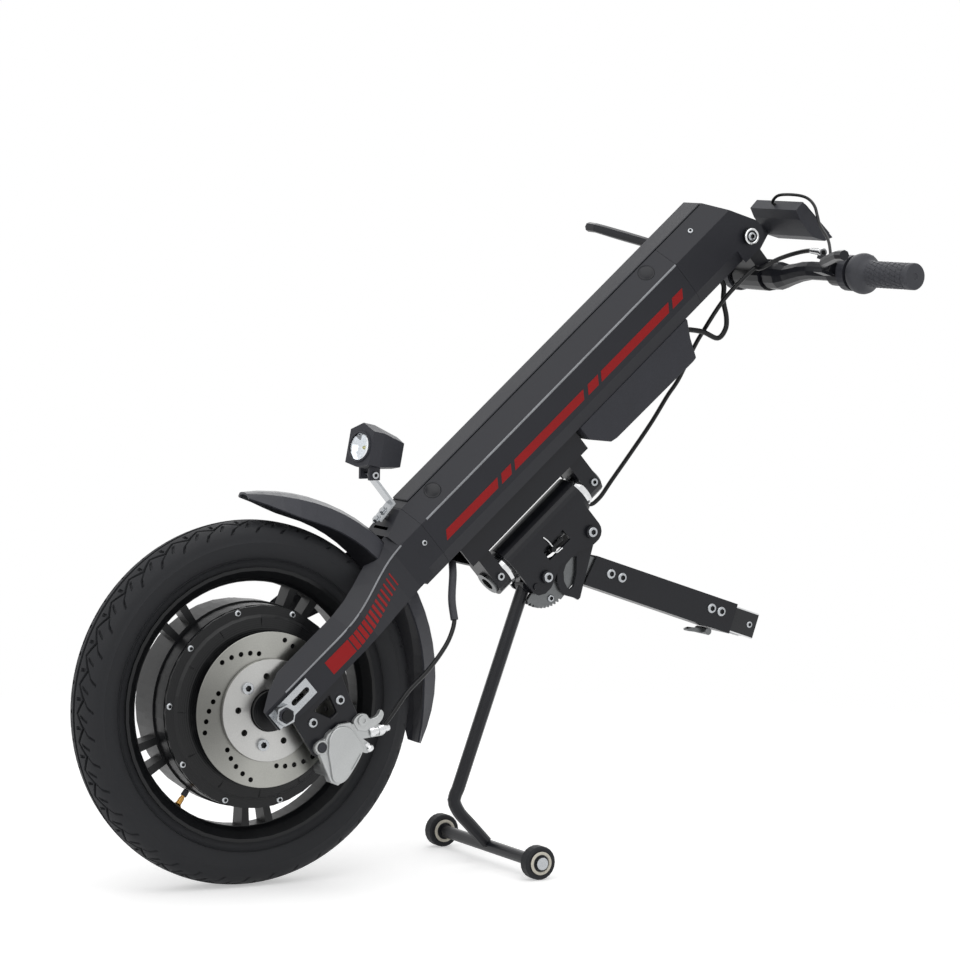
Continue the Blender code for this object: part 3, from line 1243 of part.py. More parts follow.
def make_levers(bar):
    """Brake lever clamps and blades on both sides."""
    for word, side in SIDES:
        forward, normal = lever_plane(word)
        grip_frame = bar_end_frame(side)
        ring = revolve([(BAR_RADIUS + GAP, -0.011), (0.0165, -0.011), (0.0165, 0.011),
                        (BAR_RADIUS + GAP, 0.011)], 20)
        place = grip_frame @ Matrix.Translation((0, -LEVER_CLAMP_OFFSET, 0))
        clamp = add_object("lever_clamp_" + word, moved(ring, place), bar, "black", smooth=30)
        centre = place @ Vector((0, 0, 0))
        axes = Matrix((forward, Vector((0, side, 0)), normal)).transposed().to_4x4()
        local = Matrix.Translation(centre) @ axes
        combine(clamp, moved(box(0.0125, 0.0240, -0.009, 0.009, -0.007, 0.007), local), "UNION")
        for level in (-0.0105, 0.0065):
            ear = box(0.0200, 0.0360, -0.006, 0.012, level, level + 0.004)
            combine(clamp, moved(ear, local), "UNION")
        pivot = make_empty("lever_pivot_" + word, bar, local @ Vector((0.030, 0.004, 0)))
        route = [Vector((0.001, 0.004, 0)), Vector((0.014, 0.020, 0)), Vector((0.026, 0.045, 0)),
                 Vector((0.040, 0.075, 0)), Vector((0.053, 0.103, 0)), Vector((0.055, 0.118, 0))]
        along = [axes.to_3x3() @ point for point in smooth_route(route, 0.014)]
        radii = []
        for index in range(len(along)):
            share = index / (len(along) - 1)
            radii.append(0.0058 + 0.0008 * math.sin(share * math.pi) + 0.0005 * (share > 0.9))
        add_tube("brake_lever_" + word, along, 0.0060, pivot, "black", 2, radii)


def make_throttle(bar):
    """Thumb paddle on its ring, inboard of the left grip."""
    place = bar_end_frame(-1) @ Matrix.Translation((0, -0.0205, 0))
    pivot = make_empty("throttle_pivot", bar, place.to_translation())
    turn = place.to_3x3().to_4x4()
    bore = BAR_RADIUS + 2 * GAP
    ring = revolve([(bore, -0.006), (0.0215, -0.006), (0.0215, 0.006), (bore, 0.006)], 24)
    throttle = add_object("thumb_throttle", moved(ring, turn), pivot, "black", smooth=30)
    paddle = [(-0.016, 0.004), (-0.028, 0.010), (-0.034, 0.018), (-0.030, 0.021),
              (-0.024, 0.016), (-0.012, 0.013)]
    combine(throttle, moved(prism(paddle, -0.0055, 0.0045), turn), "UNION")


def make_display(bar):
    """Display housing on a bracket that clamps the bar."""
    top = Vector((0.0235, 0.0905))
    low = Vector((0.0685, 0.0475))
    back = Vector((-0.0097, -0.0101))
    outline = [tuple(top), tuple(low), tuple(low + back * 0.75 + Vector((-0.004, 0.003))),
               tuple(low.lerp(top, 0.35) + back * 1.45), tuple(low.lerp(top, 0.8) + back * 1.3),
               tuple(top + back)]
    screen = add_object("display", prism(outline, -0.060, 0.042), bar, "black")
    neck = [(0.001, 0.0205), (0.0165, 0.0125), (0.040, 0.052), (0.031, 0.063)]
    combine(screen, prism(neck, 0.0365, 0.0415), "UNION")
    ring = revolve([(0.0181, 0.0365), (0.0215, 0.0365), (0.0215, 0.0485), (0.0181, 0.0485)], 20)
    combine(screen, ring, "UNION")


def make_cables(ground, bar):
    """Brake cable in two runs, power lead and display cable, each along its route."""
    upper = [(-0.0128, -0.1605, 0.0325), (-0.0115, -0.130, 0.0335), (-0.0135, -0.100, 0.029),
             (-0.0235, -0.078, 0.021), (-0.0328, -0.066, 0.0122), (-0.0355, -0.0572, 0.0092),
             (-0.0355, -0.0525, 0.0092)]
    add_tube("brake_cable_upper", smooth_route(upper, 0.008), CABLE_RADIUS, bar, "rubber")
    bar_centre = column_to_ground(PIVOT_S, 0, PIVOT_N - BAR_DROP)
    start = bar_centre + Vector(upper[-1]) + Vector((0, GAP, 0))
    run = [start, start + Vector((0, 0.006, 0)), (0.6465, -0.038, 0.6990),
           (0.6310, -0.022, 0.6728), (0.6190, 0.000, 0.6362), (0.6140, 0.012, 0.6160),
           (0.6060, 0.032, 0.5768), (0.5935, 0.038, 0.5550), (0.5735, 0.041, 0.5230),
           (0.5457, 0.041, 0.4874), (0.5178, 0.040, 0.4536), (0.4980, 0.038, 0.4310),
           column_to_ground(0.502, 0.0375, -0.160), column_to_ground(0.498, 0.0350, -0.128),
           column_to_ground(0.494, 0.034, -0.090), column_to_ground(0.476, 0.033, -0.069),
           column_to_ground(0.400, 0.033, -0.064), column_to_ground(0.325, 0.034, -0.062),
           column_to_ground(0.3095, 0.030, -0.060), column_to_ground(0.3035, 0.004, -0.058),
           (0.2650, -0.016, 0.3665), (0.2583, -0.030, 0.3540), (0.2520, -0.040, 0.3260),
           (0.2515, -0.048, 0.3030)]
    sleeve = len(smooth_route(run[:21], CABLE_STEP))
    run += [(0.2410, -0.056, 0.2830), (0.2240, -0.064, 0.2650), (0.1990, -0.077, 0.2470),
            (0.1675, -0.090, 0.2270)]
    stop = column_to_ground(CALIPER_STOP[0] + 0.0072, -0.0967, CALIPER_STOP[1])
    run += [column_to_ground(0.1020, -0.0955, -0.1030), stop]
    points = smooth_route(run, CABLE_STEP)
    thick_end = len(smooth_route(run[:24], CABLE_STEP))
    radii = [SLEEVE_RADIUS if sleeve <= index < thick_end else CABLE_RADIUS
             for index in range(len(points))]
    add_tube("brake_cable", points, CABLE_RADIUS, ground, "rubber", radii=radii)
    lead = [column_to_ground(0.7143, -0.012, -0.0643), column_to_ground(0.7230, -0.012, -0.0690),
            column_to_ground(0.739, -0.012, -0.087), (0.6330, -0.012, 0.6290),
            (0.6440, -0.012, 0.6400), (0.6450, -0.012, 0.6550), (0.6400, -0.012, 0.6750),
            column_to_ground(0.798, -0.012, -0.064), column_to_ground(0.799, -0.012, -0.0505)]
    add_tube("power_lead", smooth_route(lead, 0.009), LEAD_RADIUS, ground, "rubber")
    loop = [(0.0184, -0.006, 0.0859), (0.0148, -0.006, 0.0894), (0.0160, -0.018, 0.0975),
            (0.0280, -0.036, 0.0985), (0.0350, -0.052, 0.0950), (0.0360, -0.0665, 0.0860),
            (0.0330, -0.078, 0.0740), (0.0290, -0.090, 0.0630), (0.0218, -0.118, 0.0470),
            (0.0120, -0.138, 0.0340), (0.0052, -0.149, 0.0255), (0.0042, -0.1545, 0.0230),
            (0.0050, -0.1601, 0.0229)]
    add_tube("display_cable", smooth_route(loop, 0.009), 0.0021, bar, "rubber")


def build():
    """Build the whole handbike."""
    clear_scene()
    ground = make_empty("assembly")
    column = make_empty("column_frame", ground, (0, 0, TYRE_RADIUS), (0, -COLUMN_ANGLE, 0))
    wheel = make_empty("wheel_axis", ground, (0, 0, TYRE_RADIUS))
    make_wheel(wheel)
    make_axle_group(column)
    start, end = make_column(column)
    make_head(column, end)
    make_fork(column)
    make_brake(column)
    make_rail(column)
    make_controller_box(column)
    make_fender(ground)
    lamp_pivot = make_empty("lamp_pivot", ground, (LAMP_X, 0, LAMP_Z))
    make_lamp(ground, lamp_pivot)
    steer = make_empty("steer_axis", column, (0, 0, STEER_N))
    make_dock(steer)
    release = make_empty("release_pivot", steer, (UPPER_BOLT_S, 0, UPPER_BOLT_N - STEER_N),
                         (0, COLUMN_ANGLE, 0))
    make_release(release)
    make_latch(steer)
    tilt = make_empty("tilt_pivot", steer, (TILT_S, 0, TILT_N - STEER_N),
                      (0, COLUMN_ANGLE - ARM_SLOPE, 0))
    slider = make_empty("slider_axis", tilt, (0, 0, ARM_LIFT))
    clamp = make_empty("clamp_pivot", tilt, (CLAMP_AT, 0, ARM_LIFT - ARM_HEIGHT / 2 - 0.0052))
    make_arm(tilt, slider, clamp)
    stand_at = column_to_ground(STAND_S, 0, STAND_N)
    stand = make_empty("stand_pivot", steer, (STAND_S, 0, STAND_N - STEER_N),
                       (0, COLUMN_ANGLE, 0))
    foot = Vector((STAND_FOOT_X - stand_at.x, 0, ROLLER_RADIUS - stand_at.z))
    half = ROLLER_SPACING / 2
    left = make_empty("roller_left_axis", stand, foot + Vector((0, -half, 0)))
    right = make_empty("roller_right_axis", stand, foot + Vector((0, half, 0)))
    make_stand(stand, left, right, foot)
    stem_pivot = make_empty("stem_pivot", column, (PIVOT_S, 0, PIVOT_N))
    make_stem(stem_pivot)
    bar = make_empty("bar_centre", stem_pivot, (0, 0, -BAR_DROP), (0, COLUMN_ANGLE, 0))
    make_handlebar(bar)
    make_levers(bar)
    make_throttle(bar)
    make_display(bar)
    make_cables(ground, bar)
    return ground


def settle_on_origin(ground):
    """Move the assembly so that the middle of its box's foot is the origin."""
    bpy.context.view_layer.update()
    depsgraph = bpy.context.evaluated_depsgraph_get()
    low = Vector((1e9, 1e9, 1e9))
    high = -low
    for item in bpy.context.scene.objects:
        if item.hide_render or item.type not in {"MESH", "CURVE"}:
            continue
        shape = item.evaluated_get(depsgraph)
        mesh = shape.to_mesh()
        for vertex in mesh.vertices:
            point = shape.matrix_world @ vertex.co
            for axis in range(3):
                low[axis] = min(low[axis], point[axis])
                high[axis] = max(high[axis], point[axis])
        shape.to_mesh_clear()
    ground.location = (-(low.x + high.x) / 2, -(low.y + high.y) / 2, -low.z)
    bpy.context.view_layer.update()


settle_on_origin(build())
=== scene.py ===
"""Looks of an electric handbike for a wheelchair.

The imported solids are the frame. This script gives each of them its finish, and adds the
tyre with its tread, the disc with round holes, fasteners, stripes, the lamp's optics,
cords and grips. Lengths are metres unless a name ends in mm. Places are given in the
ground frame (origin under the axle) or in the column frame (origin on the axle, s up
along the column, n square to it, away from the rider).
"""

import json
import logging
import math
from dataclasses import dataclass
from enum import Enum
from typing import Callable, Sequence

import bmesh
import bpy
from mathutils import Matrix, Vector

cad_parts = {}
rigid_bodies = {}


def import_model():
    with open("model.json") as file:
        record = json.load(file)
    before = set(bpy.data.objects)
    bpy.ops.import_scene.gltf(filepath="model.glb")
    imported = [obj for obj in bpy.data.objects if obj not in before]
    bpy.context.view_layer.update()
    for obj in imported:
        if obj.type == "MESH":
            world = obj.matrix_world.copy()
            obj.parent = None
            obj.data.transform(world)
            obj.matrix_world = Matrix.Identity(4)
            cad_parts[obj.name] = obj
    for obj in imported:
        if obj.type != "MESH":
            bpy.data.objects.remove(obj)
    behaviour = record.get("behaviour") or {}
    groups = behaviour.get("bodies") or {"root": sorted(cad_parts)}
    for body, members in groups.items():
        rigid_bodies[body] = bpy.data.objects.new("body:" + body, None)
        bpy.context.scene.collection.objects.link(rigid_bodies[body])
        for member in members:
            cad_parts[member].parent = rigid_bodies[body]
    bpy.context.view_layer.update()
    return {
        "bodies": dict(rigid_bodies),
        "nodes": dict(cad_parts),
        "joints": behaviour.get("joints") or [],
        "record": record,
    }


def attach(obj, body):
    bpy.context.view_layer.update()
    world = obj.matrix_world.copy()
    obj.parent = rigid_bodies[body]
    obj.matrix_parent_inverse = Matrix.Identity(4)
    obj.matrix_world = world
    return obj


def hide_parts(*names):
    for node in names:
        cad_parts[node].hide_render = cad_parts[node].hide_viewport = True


log = logging.getLogger("handbike")

AXLE_X = -0.27679
AXLE_HEIGHT = 0.2125
COLUMN_ANGLE = math.radians(41.5)
MM = 0.001
# radians that the wave texture runs through in one unit at scale 1
WAVE_RATE = 20
# steps of a smooth route between two of its points
ROUTE_STEPS = 6

# names for the types in the hints
Point = Sequence[float]
Piece = bpy.types.Object
Tree = bpy.types.NodeTree
Socket = bpy.types.NodeSocket
Coat = bpy.types.Material
Coats = dict[str, Coat]
Nodes = dict[str, Piece]


def ground(x: float, y: float, z: float) -> Vector:
    """Turn a point of the ground frame into the row frame."""
    return Vector((x + AXLE_X, y, z))


def column(s: float, y: float, n: float) -> Vector:
    """Turn distances up the column, to the right and square to it into the row frame."""
    return ground(s * math.cos(COLUMN_ANGLE) - n * math.sin(COLUMN_ANGLE), y,
                  AXLE_HEIGHT + s * math.sin(COLUMN_ANGLE) + n * math.cos(COLUMN_ANGLE))


WHEEL_CENTRE = ground(0, 0, AXLE_HEIGHT)
ALONG_COLUMN = column(1, 0, 0) - column(0, 0, 0)
ACROSS_COLUMN = column(0, 0, 1) - column(0, 0, 0)
LEFT = Vector((0, -1, 0))
RIGHT = Vector((0, 1, 0))
SIDES = ((-1, LEFT), (1, RIGHT))
# the arm points backwards and down
ALONG_ARM = Vector((0.9494, 0, -0.3140))
ACROSS_ARM = Vector((0.3140, 0, 0.9494))
# places in the row frame, read off the solids
BAR_CENTRE = Vector((0.42079, 0.0, 0.70682))
LAMP_PIVOT = Vector((-0.11619, 0.0, 0.4731))
ARM_PIVOT = Vector((0.11251, 0.0, 0.34596))
ROLLER_AXIS = Vector((0.05421, 0.0, 0.02))
CAMERA_PLACE = ground(-1.983, -4.062, 0.877)


def standing_on(point: Vector, outwards: Vector, turn: float = 0.0) -> Matrix:
    """Return the place at a point whose Z points outwards, turned about it in radians."""
    lean = outwards.to_track_quat("Z", "Y").to_matrix().to_4x4()
    return Matrix.Translation(point) @ lean @ Matrix.Rotation(turn, 4, "Z")


# modelling


def deselect() -> None:
    """Leave edit mode and select nothing."""
    if bpy.context.object and bpy.context.object.mode != "OBJECT":
        bpy.ops.object.mode_set(mode="OBJECT")
    bpy.ops.object.select_all(action="DESELECT")


def choose(item: Piece) -> None:
    """Make one object the selected and active one.

    Args:
        item: the object.
    """
    deselect()
    item.select_set(True)
    bpy.context.view_layer.objects.active = item


def place(item: Piece, matrix: Matrix = Matrix.Identity(4)) -> Piece:
    """Put an object's place into its mesh and leave the object on the origin.

    Args:
        item: the object.
        matrix: moves it further, after its own place.

    Returns:
        The same object, untransformed.
    """
    item.data.transform(matrix @ item.matrix_basis)
    item.matrix_basis = Matrix.Identity(4)
    return item


def new_cylinder(name: str, radius: float, low: float, high: float, sides: int = 24) -> Piece:
    """Add a cylinder along Z between two heights.

    Args:
        name: the object's name.
        radius: its radius.
        low: height of its lower end.
        high: height of its upper end.
        sides: number of flat sides.

    Returns:
        The new object.
    """
    deselect()
    bpy.ops.mesh.primitive_cylinder_add(vertices=sides, radius=radius, depth=high - low,
                                        location=(0, 0, (low + high) / 2))
    item = bpy.context.object
    item.name = name
    return place(item)


def new_block(name: str, low: Point, high: Point) -> Piece:
    """Add a block between two corners.

    Args:
        name: the object's name.
        low: corner with the least values.
        high: opposite corner.

    Returns:
        The new object.
    """
    deselect()
    bpy.ops.mesh.primitive_cube_add(size=1)
    item = bpy.context.object
    item.name = name
    item.scale = [b - a for a, b in zip(low, high)]
    item.location = [(a + b) / 2 for a, b in zip(low, high)]
    return place(item)


def edit_faces(item: Piece, test: Callable[[Vector, Vector], bool]) -> None:
    """Enter edit mode with the faces selected whose centre and normal pass a test.

    Args:
        item: the object to edit.
        test: picks faces by centre and normal.
    """
    choose(item)
    bpy.ops.object.mode_set(mode="EDIT")
    bpy.ops.mesh.select_mode(type="FACE")
    bpy.ops.mesh.select_all(action="DESELECT")
    shape = bmesh.from_edit_mesh(item.data)
    for face in shape.faces:
        face.select_set(test(face.calc_center_median(), face.normal))
    bmesh.update_edit_mesh(item.data)


def inset_faces(item: Piece, test: Callable[[Vector, Vector], bool],
                inwards: float, depth: float) -> Piece:
    """Inset the chosen faces and move them along their normal.

    Args:
        item: the object to change.
        test: picks faces by centre and normal.
        inwards: width of the border that the inset leaves.
        depth: how far the inner face rises, or sinks where it is negative.

    Returns:
        The same object.
    """
    edit_faces(item, test)
    bpy.ops.mesh.inset(thickness=inwards, depth=0)
    bpy.ops.mesh.inset(thickness=0.00001, depth=depth)
    bpy.ops.object.mode_set(mode="OBJECT")
    return item


def apply_modifier(item: Piece, kind: str, **settings: object) -> Piece:
    """Add a modifier with its settings and apply it.

    Args:
        item: the object to change.
        kind: the modifier's type.
        **settings: its properties by name.

    Returns:
        The same object.
    """
    choose(item)
    modifier = item.modifiers.new(kind.lower(), kind)
    for key, value in settings.items():
        setattr(modifier, key, value)
    bpy.ops.object.modifier_apply(modifier=modifier.name)
    return item


def round_edges(item: Piece, width: float, segments: int = 2, angle: float = 30.0) -> Piece:
    """Round the edges that are sharper than an angle in degrees.

    Args:
        item: the object to change.
        width: width of the rounding.
        segments: number of strips across it.
        angle: least angle between two faces, in degrees.

    Returns:
        The same object.
    """
    return apply_modifier(item, "BEVEL", width=width, segments=segments,
                          limit_method="ANGLE", angle_limit=math.radians(angle),
                          use_clamp_overlap=True)


def cut_away(item: Piece, tool: Piece) -> Piece:
    """Take a tool's volume out of an object and delete the tool.

    Args:
        item: the object to change.
        tool: the object whose volume goes.

    Returns:
        The same object.
    """
    apply_modifier(item, "BOOLEAN", operation="DIFFERENCE", solver="EXACT", object=tool)
    bpy.data.objects.remove(tool, do_unlink=True)
    return item


def join(name: str, items: Sequence[Piece]) -> Piece:
    """Make one object of several.

    Args:
        name: name of the joined object.
        items: the objects.

    Returns:
        The first object, with all meshes.
    """
    choose(items[0])
    for item in items:
        item.select_set(True)
    if len(items) > 1:
        bpy.ops.object.join()
    items[0].name = name
    return items[0]


def repeat(name: str, model: Piece, places: Sequence[Matrix]) -> Piece:
    """Copy a model to every place, as one piece, and delete the model.

    Args:
        name: the piece's name.
        model: the object that is copied, in its own frame.
        places: a matrix for each copy.

    Returns:
        The piece that holds all copies.
    """
    copies = []
    for matrix in places:
        copy = model.copy()
        copy.data = model.data.copy()
        bpy.context.scene.collection.objects.link(copy)
        copies.append(place(copy, matrix))
    bpy.data.objects.remove(model, do_unlink=True)
    return join(name, copies)


def turned(name: str, profile: Sequence[Point], steps: int = 48) -> Piece:
    """Spin a closed (radius, height) profile about Z, as on a lathe.

    Args:
        name: the object's name.
        profile: (radius, height) pairs, without the first one again.
        steps: number of steps round the axis.

    Returns:
        The new object.
    """
    deselect()
    bpy.ops.mesh.primitive_circle_add(vertices=len(profile), radius=1)
    item = bpy.context.object
    item.name = name
    for vertex, (radius, height) in zip(item.data.vertices, profile):
        vertex.co = (radius, 0, height)
    bpy.ops.object.mode_set(mode="EDIT")
    bpy.ops.mesh.select_all(action="SELECT")
    bpy.ops.mesh.spin(steps=steps, angle=2 * math.pi, center=(0, 0, 0), axis=(0, 0, 1))
    bpy.ops.mesh.select_all(action="SELECT")
    bpy.ops.mesh.remove_doubles(threshold=0.00001)
    bpy.ops.mesh.delete_loose()
    bpy.ops.mesh.select_all(action="SELECT")
    bpy.ops.mesh.normals_make_consistent(inside=False)
    bpy.ops.object.mode_set(mode="OBJECT")
    return item


def plate(name: str, outline: Sequence[Point], depth: float) -> Piece:
    """Fill an outline in the XY plane and extrude it along Z.

    Args:
        name: the object's name.
        outline: (x, y) pairs.
        depth: thickness along Z.

    Returns:
        The new object.
    """
    deselect()
    bpy.ops.mesh.primitive_circle_add(vertices=len(outline), radius=1, fill_type="NGON")
    item = bpy.context.object
    item.name = name
    for vertex, (x, y) in zip(item.data.vertices, outline):
        vertex.co = (x, y, 0)
    bpy.ops.object.mode_set(mode="EDIT")
    bpy.ops.mesh.select_all(action="SELECT")
    bpy.ops.mesh.extrude_region_move(TRANSFORM_OT_translate={"value": (0, 0, depth)})
    bpy.ops.mesh.select_all(action="SELECT")
    bpy.ops.mesh.normals_make_consistent(inside=False)
    bpy.ops.object.mode_set(mode="OBJECT")
    return item


def curved_plate(name: str, corners: list[Point], steps: int, depth: float) -> Piece:
    """Extrude the smooth loop through corners, with steps between two, along Z."""
    loop = smooth_route([(x, y, 0) for x, y in (*corners, corners[0])], steps)[:-1]
    return plate(name, [(point.x, point.y) for point in loop], depth)


def capsule(first: Point, second: Point, radius: float, steps: int = 8) -> list[Point]:
    """Return the outline of a slot between two points.

    Args:
        first: centre of one round end.
        second: centre of the other.
        radius: half the slot's width.
        steps: steps round each end.

    Returns:
        The outline's points.
    """
    way = math.atan2(second[1] - first[1], second[0] - first[0])
    outline = []
    for middle, start in ((second, way - math.pi / 2), (first, way + math.pi / 2)):
        for step in range(steps + 1):
            angle = start + math.pi * step / steps
            outline.append((middle[0] + radius * math.cos(angle),
                            middle[1] + radius * math.sin(angle)))
    return outline


def beside_column(y: float) -> Matrix:
    """Return the place with X up the column, Y across it and Z pointing left."""
    axes = Matrix((ALONG_COLUMN, ACROSS_COLUMN, LEFT)).transposed().to_4x4()
    return Matrix.Translation(column(0, y, 0)) @ axes


def smooth(item: Piece, angle: float = 35.0) -> Piece:
    """Shade smooth, with edges sharper than an angle in degrees kept.

    Args:
        item: the object to change.
        angle: edges sharper than this stay sharp, in degrees.

    Returns:
        The same object.
    """
    choose(item)
    bpy.ops.object.shade_smooth_by_angle(angle=math.radians(angle))
    return item


def finished(item: Piece, body: str, coat: Coat | None,
             angle: float = 35.0) -> Piece:
    """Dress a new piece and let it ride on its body.

    Args:
        item: the piece.
        body: the body that carries it.
        coat: its finish; None leaves the finishes it already has.
        angle: edges sharper than this stay sharp, in degrees.

    Returns:
        The same piece.
    """
    if item.type == "MESH":
        smooth(item, angle)
    if coat:
        item.data.materials.clear()
        item.data.materials.append(coat)
    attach(item, body)
    log.info("made %s on %s", item.name, body)
    return item


# finishes

# every finish varies in patches, 28 to the metre, and in specks, 600 to the metre
PATCH_MM = 1000 / 28
SPECK_MM = 1000 / 600
# the sum of their two noises stays between these for the most part
LEAST_NOISE = 0.6
MOST_NOISE = 1.4
# half that sum is dark below the first and light above the second
DARK_BELOW = 0.35
LIGHT_ABOVE = 0.65
METAL_SPECULAR = 0.5
COAT_ROUGHNESS = 0.15
# width of a brushed line as a share of its length
LINE_STRETCH = 0.02


def linear(colour: str) -> tuple[float, float, float, float]:
    """Turn an sRGB hex value with its hash sign into linear red, green, blue and alpha."""
    values = [int(colour[index:index + 2], 16) / 255 for index in (1, 3, 5)]
    return (*[v / 12.92 if v <= 0.04045 else ((v + 0.055) / 1.055) ** 2.4 for v in values], 1.0)


def add_node(tree: Tree, kind: str, settings: dict | None = None,
             links: dict | None = None) -> bpy.types.Node:
    """Add a node, set its options or sockets by name, and link sockets into it.

    Args:
        tree: the node tree.
        kind: the node's type.
        settings: options and constant inputs, by name.
        links: output sockets by the input they feed.

    Returns:
        The node.
    """
    node = tree.nodes.new(kind)
    for key, value in (settings or {}).items():
        if isinstance(key, str) and hasattr(node, key):
            setattr(node, key, value)
        else:
            node.inputs[key].default_value = value
    for key, socket in (links or {}).items():
        tree.links.new(socket, node.inputs[key])
    return node


class Relief(Enum):
    """How a surface's small relief is laid out."""

    GRAIN = "grain"
    RINGS = "rings"
    BRUSHED = "brushed"
    RIBBED = "ribbed"


@dataclass(frozen=True)
class Finish:
    """One finish: a colour with slight variation, gloss, and small relief.

    Attributes:
        name: the material's name.
        colour: sRGB hex of the clean surface.
        rough: mean roughness.
        metallic: 1 for bare metal, 0 for paint, plastic and rubber, and between for silver
            paint, anodising and oxide.
        relief: layout of the relief.
        size_mm: distance between two grains, rings or ribs.
        depth_mm: height of the relief.
        uneven: share by which colour and roughness vary over some centimetres.
        coat: weight of a clear coat.
        fan: share by which two opposite fans of painted shade darken the colour, standing in for
            the bright and dark fans of reflection on turning or grinding marks.
        specular: specular level of a finish that isn't metallic at all.
    """

    name: str
    colour: str
    rough: float
    metallic: float = 0.0
    relief: Relief = Relief.GRAIN
    size_mm: float = 0.8
    depth_mm: float = 0.03
    uneven: float = 0.12
    coat: float = 0.0
    fan: float = 0.0
    specular: float = 0.32

    def make(self, centre: Vector = WHEEL_CENTRE) -> Coat:
        """Build the material; rings are laid about an axis along Y through the centre.

        Args:
            centre: a point of the axis.

        Returns:
            The material.
        """
        material = bpy.data.materials.new(self.name)
        material.use_nodes = True
        tree = material.node_tree
        shader = tree.nodes["Principled BSDF"]
        shader.inputs["Metallic"].default_value = self.metallic
        shader.inputs["Specular IOR Level"].default_value = (
            METAL_SPECULAR if self.metallic else self.specular)
        shader.inputs["Coat Weight"].default_value = self.coat
        shader.inputs["Coat Roughness"].default_value = COAT_ROUGHNESS
        where = add_node(tree, "ShaderNodeTexCoord").outputs["Object"]
        both = self.mottle(tree, where)
        colour = self.tint(tree, both)
        # painted reflection: two fans about the axis are darkened in the colour itself
        if self.fan:
            colour = self.fans(tree, where, centre, colour)
        tree.links.new(colour, shader.inputs["Base Color"])
        gloss = add_node(tree, "ShaderNodeMapRange",
                         {"From Min": LEAST_NOISE, "From Max": MOST_NOISE,
                          "To Min": self.rough * (1 - self.uneven),
                          "To Max": min(1.0, self.rough * (1 + self.uneven))}, {"Value": both})
        tree.links.new(gloss.outputs["Result"], shader.inputs["Roughness"])
        height = self.height(tree, where, centre)
        bump = add_node(tree, "ShaderNodeBump",
                        {"Strength": 1.0, "Distance": self.depth_mm * MM}, {"Height": height})
        tree.links.new(bump.outputs["Normal"], shader.inputs["Normal"])
        return material

    def mottle(self, tree: Tree, where: Socket) -> Socket:
        """Add up the patches and the specks by which a surface varies.

        Args:
            tree: the material's node tree.
            where: object coordinates.

        Returns:
            The socket with the sum of both noises.
        """
        patch = add_node(tree, "ShaderNodeTexNoise",
                         {"Scale": 1 / (PATCH_MM * MM), "Detail": 4.0},
                         {"Vector": where}).outputs["Fac"]
        speck = add_node(tree, "ShaderNodeTexNoise",
                         {"Scale": 1 / (SPECK_MM * MM), "Detail": 2.0},
                         {"Vector": where}).outputs["Fac"]
        return add_node(tree, "ShaderNodeMath", {"operation": "ADD"},
                        {0: patch, 1: speck}).outputs[0]

    def tint(self, tree: Tree, mottle: Socket) -> Socket:
        """Vary the colour a little to both sides.

        Args:
            tree: the material's node tree.
            mottle: the sum of both noises.

        Returns:
            The socket with the colour.
        """
        base = Vector(linear(self.colour)[:3])
        half = add_node(tree, "ShaderNodeMath", {"operation": "MULTIPLY", 1: 0.5}, {0: mottle})
        ramp = add_node(tree, "ShaderNodeValToRGB", None, {"Fac": half.outputs[0]})
        dark, light = ramp.color_ramp.elements
        dark.position = DARK_BELOW
        dark.color = (*(base * (1 - self.uneven)), 1)
        light.position = LIGHT_ABOVE
        light.color = (*[min(1.0, value) for value in base * (1 + self.uneven)], 1)
        return ramp.outputs["Color"]

    def fans(self, tree: Tree, where: Socket, centre: Vector, colour: Socket) -> Socket:
        """Paint shade into two opposite fans about the axis, in place of the fans of reflection
        that circular grinding marks show.

        Args:
            tree: the material's node tree.
            where: object coordinates.
            centre: a point of the axis.
            colour: the colour to darken.

        Returns:
            The socket with the darkened colour.
        """
        flat = add_node(tree, "ShaderNodeMapping",
                        {"Location": (-centre[0], centre[2], -centre[1]),
                         "Rotation": (math.radians(90), 0, 0)}, {"Vector": where})
        turn = add_node(tree, "ShaderNodeTexGradient", {"gradient_type": "RADIAL"},
                        {"Vector": flat.outputs["Vector"]})
        wave = add_node(tree, "ShaderNodeMath", {"operation": "MULTIPLY_ADD",
                                                 1: 4 * math.pi, 2: math.radians(-90)},
                        {0: turn.outputs["Fac"]})
        swing = add_node(tree, "ShaderNodeMath", {"operation": "SINE"}, {0: wave.outputs[0]})
        level = add_node(tree, "ShaderNodeMapRange",
                         {"From Min": -1.0, "To Min": 1 - self.fan, "To Max": 1.0},
                         {"Value": swing.outputs[0]})
        return add_node(tree, "ShaderNodeVectorMath", {"operation": "SCALE"},
                        {0: colour, "Scale": level.outputs["Result"]}).outputs[0]

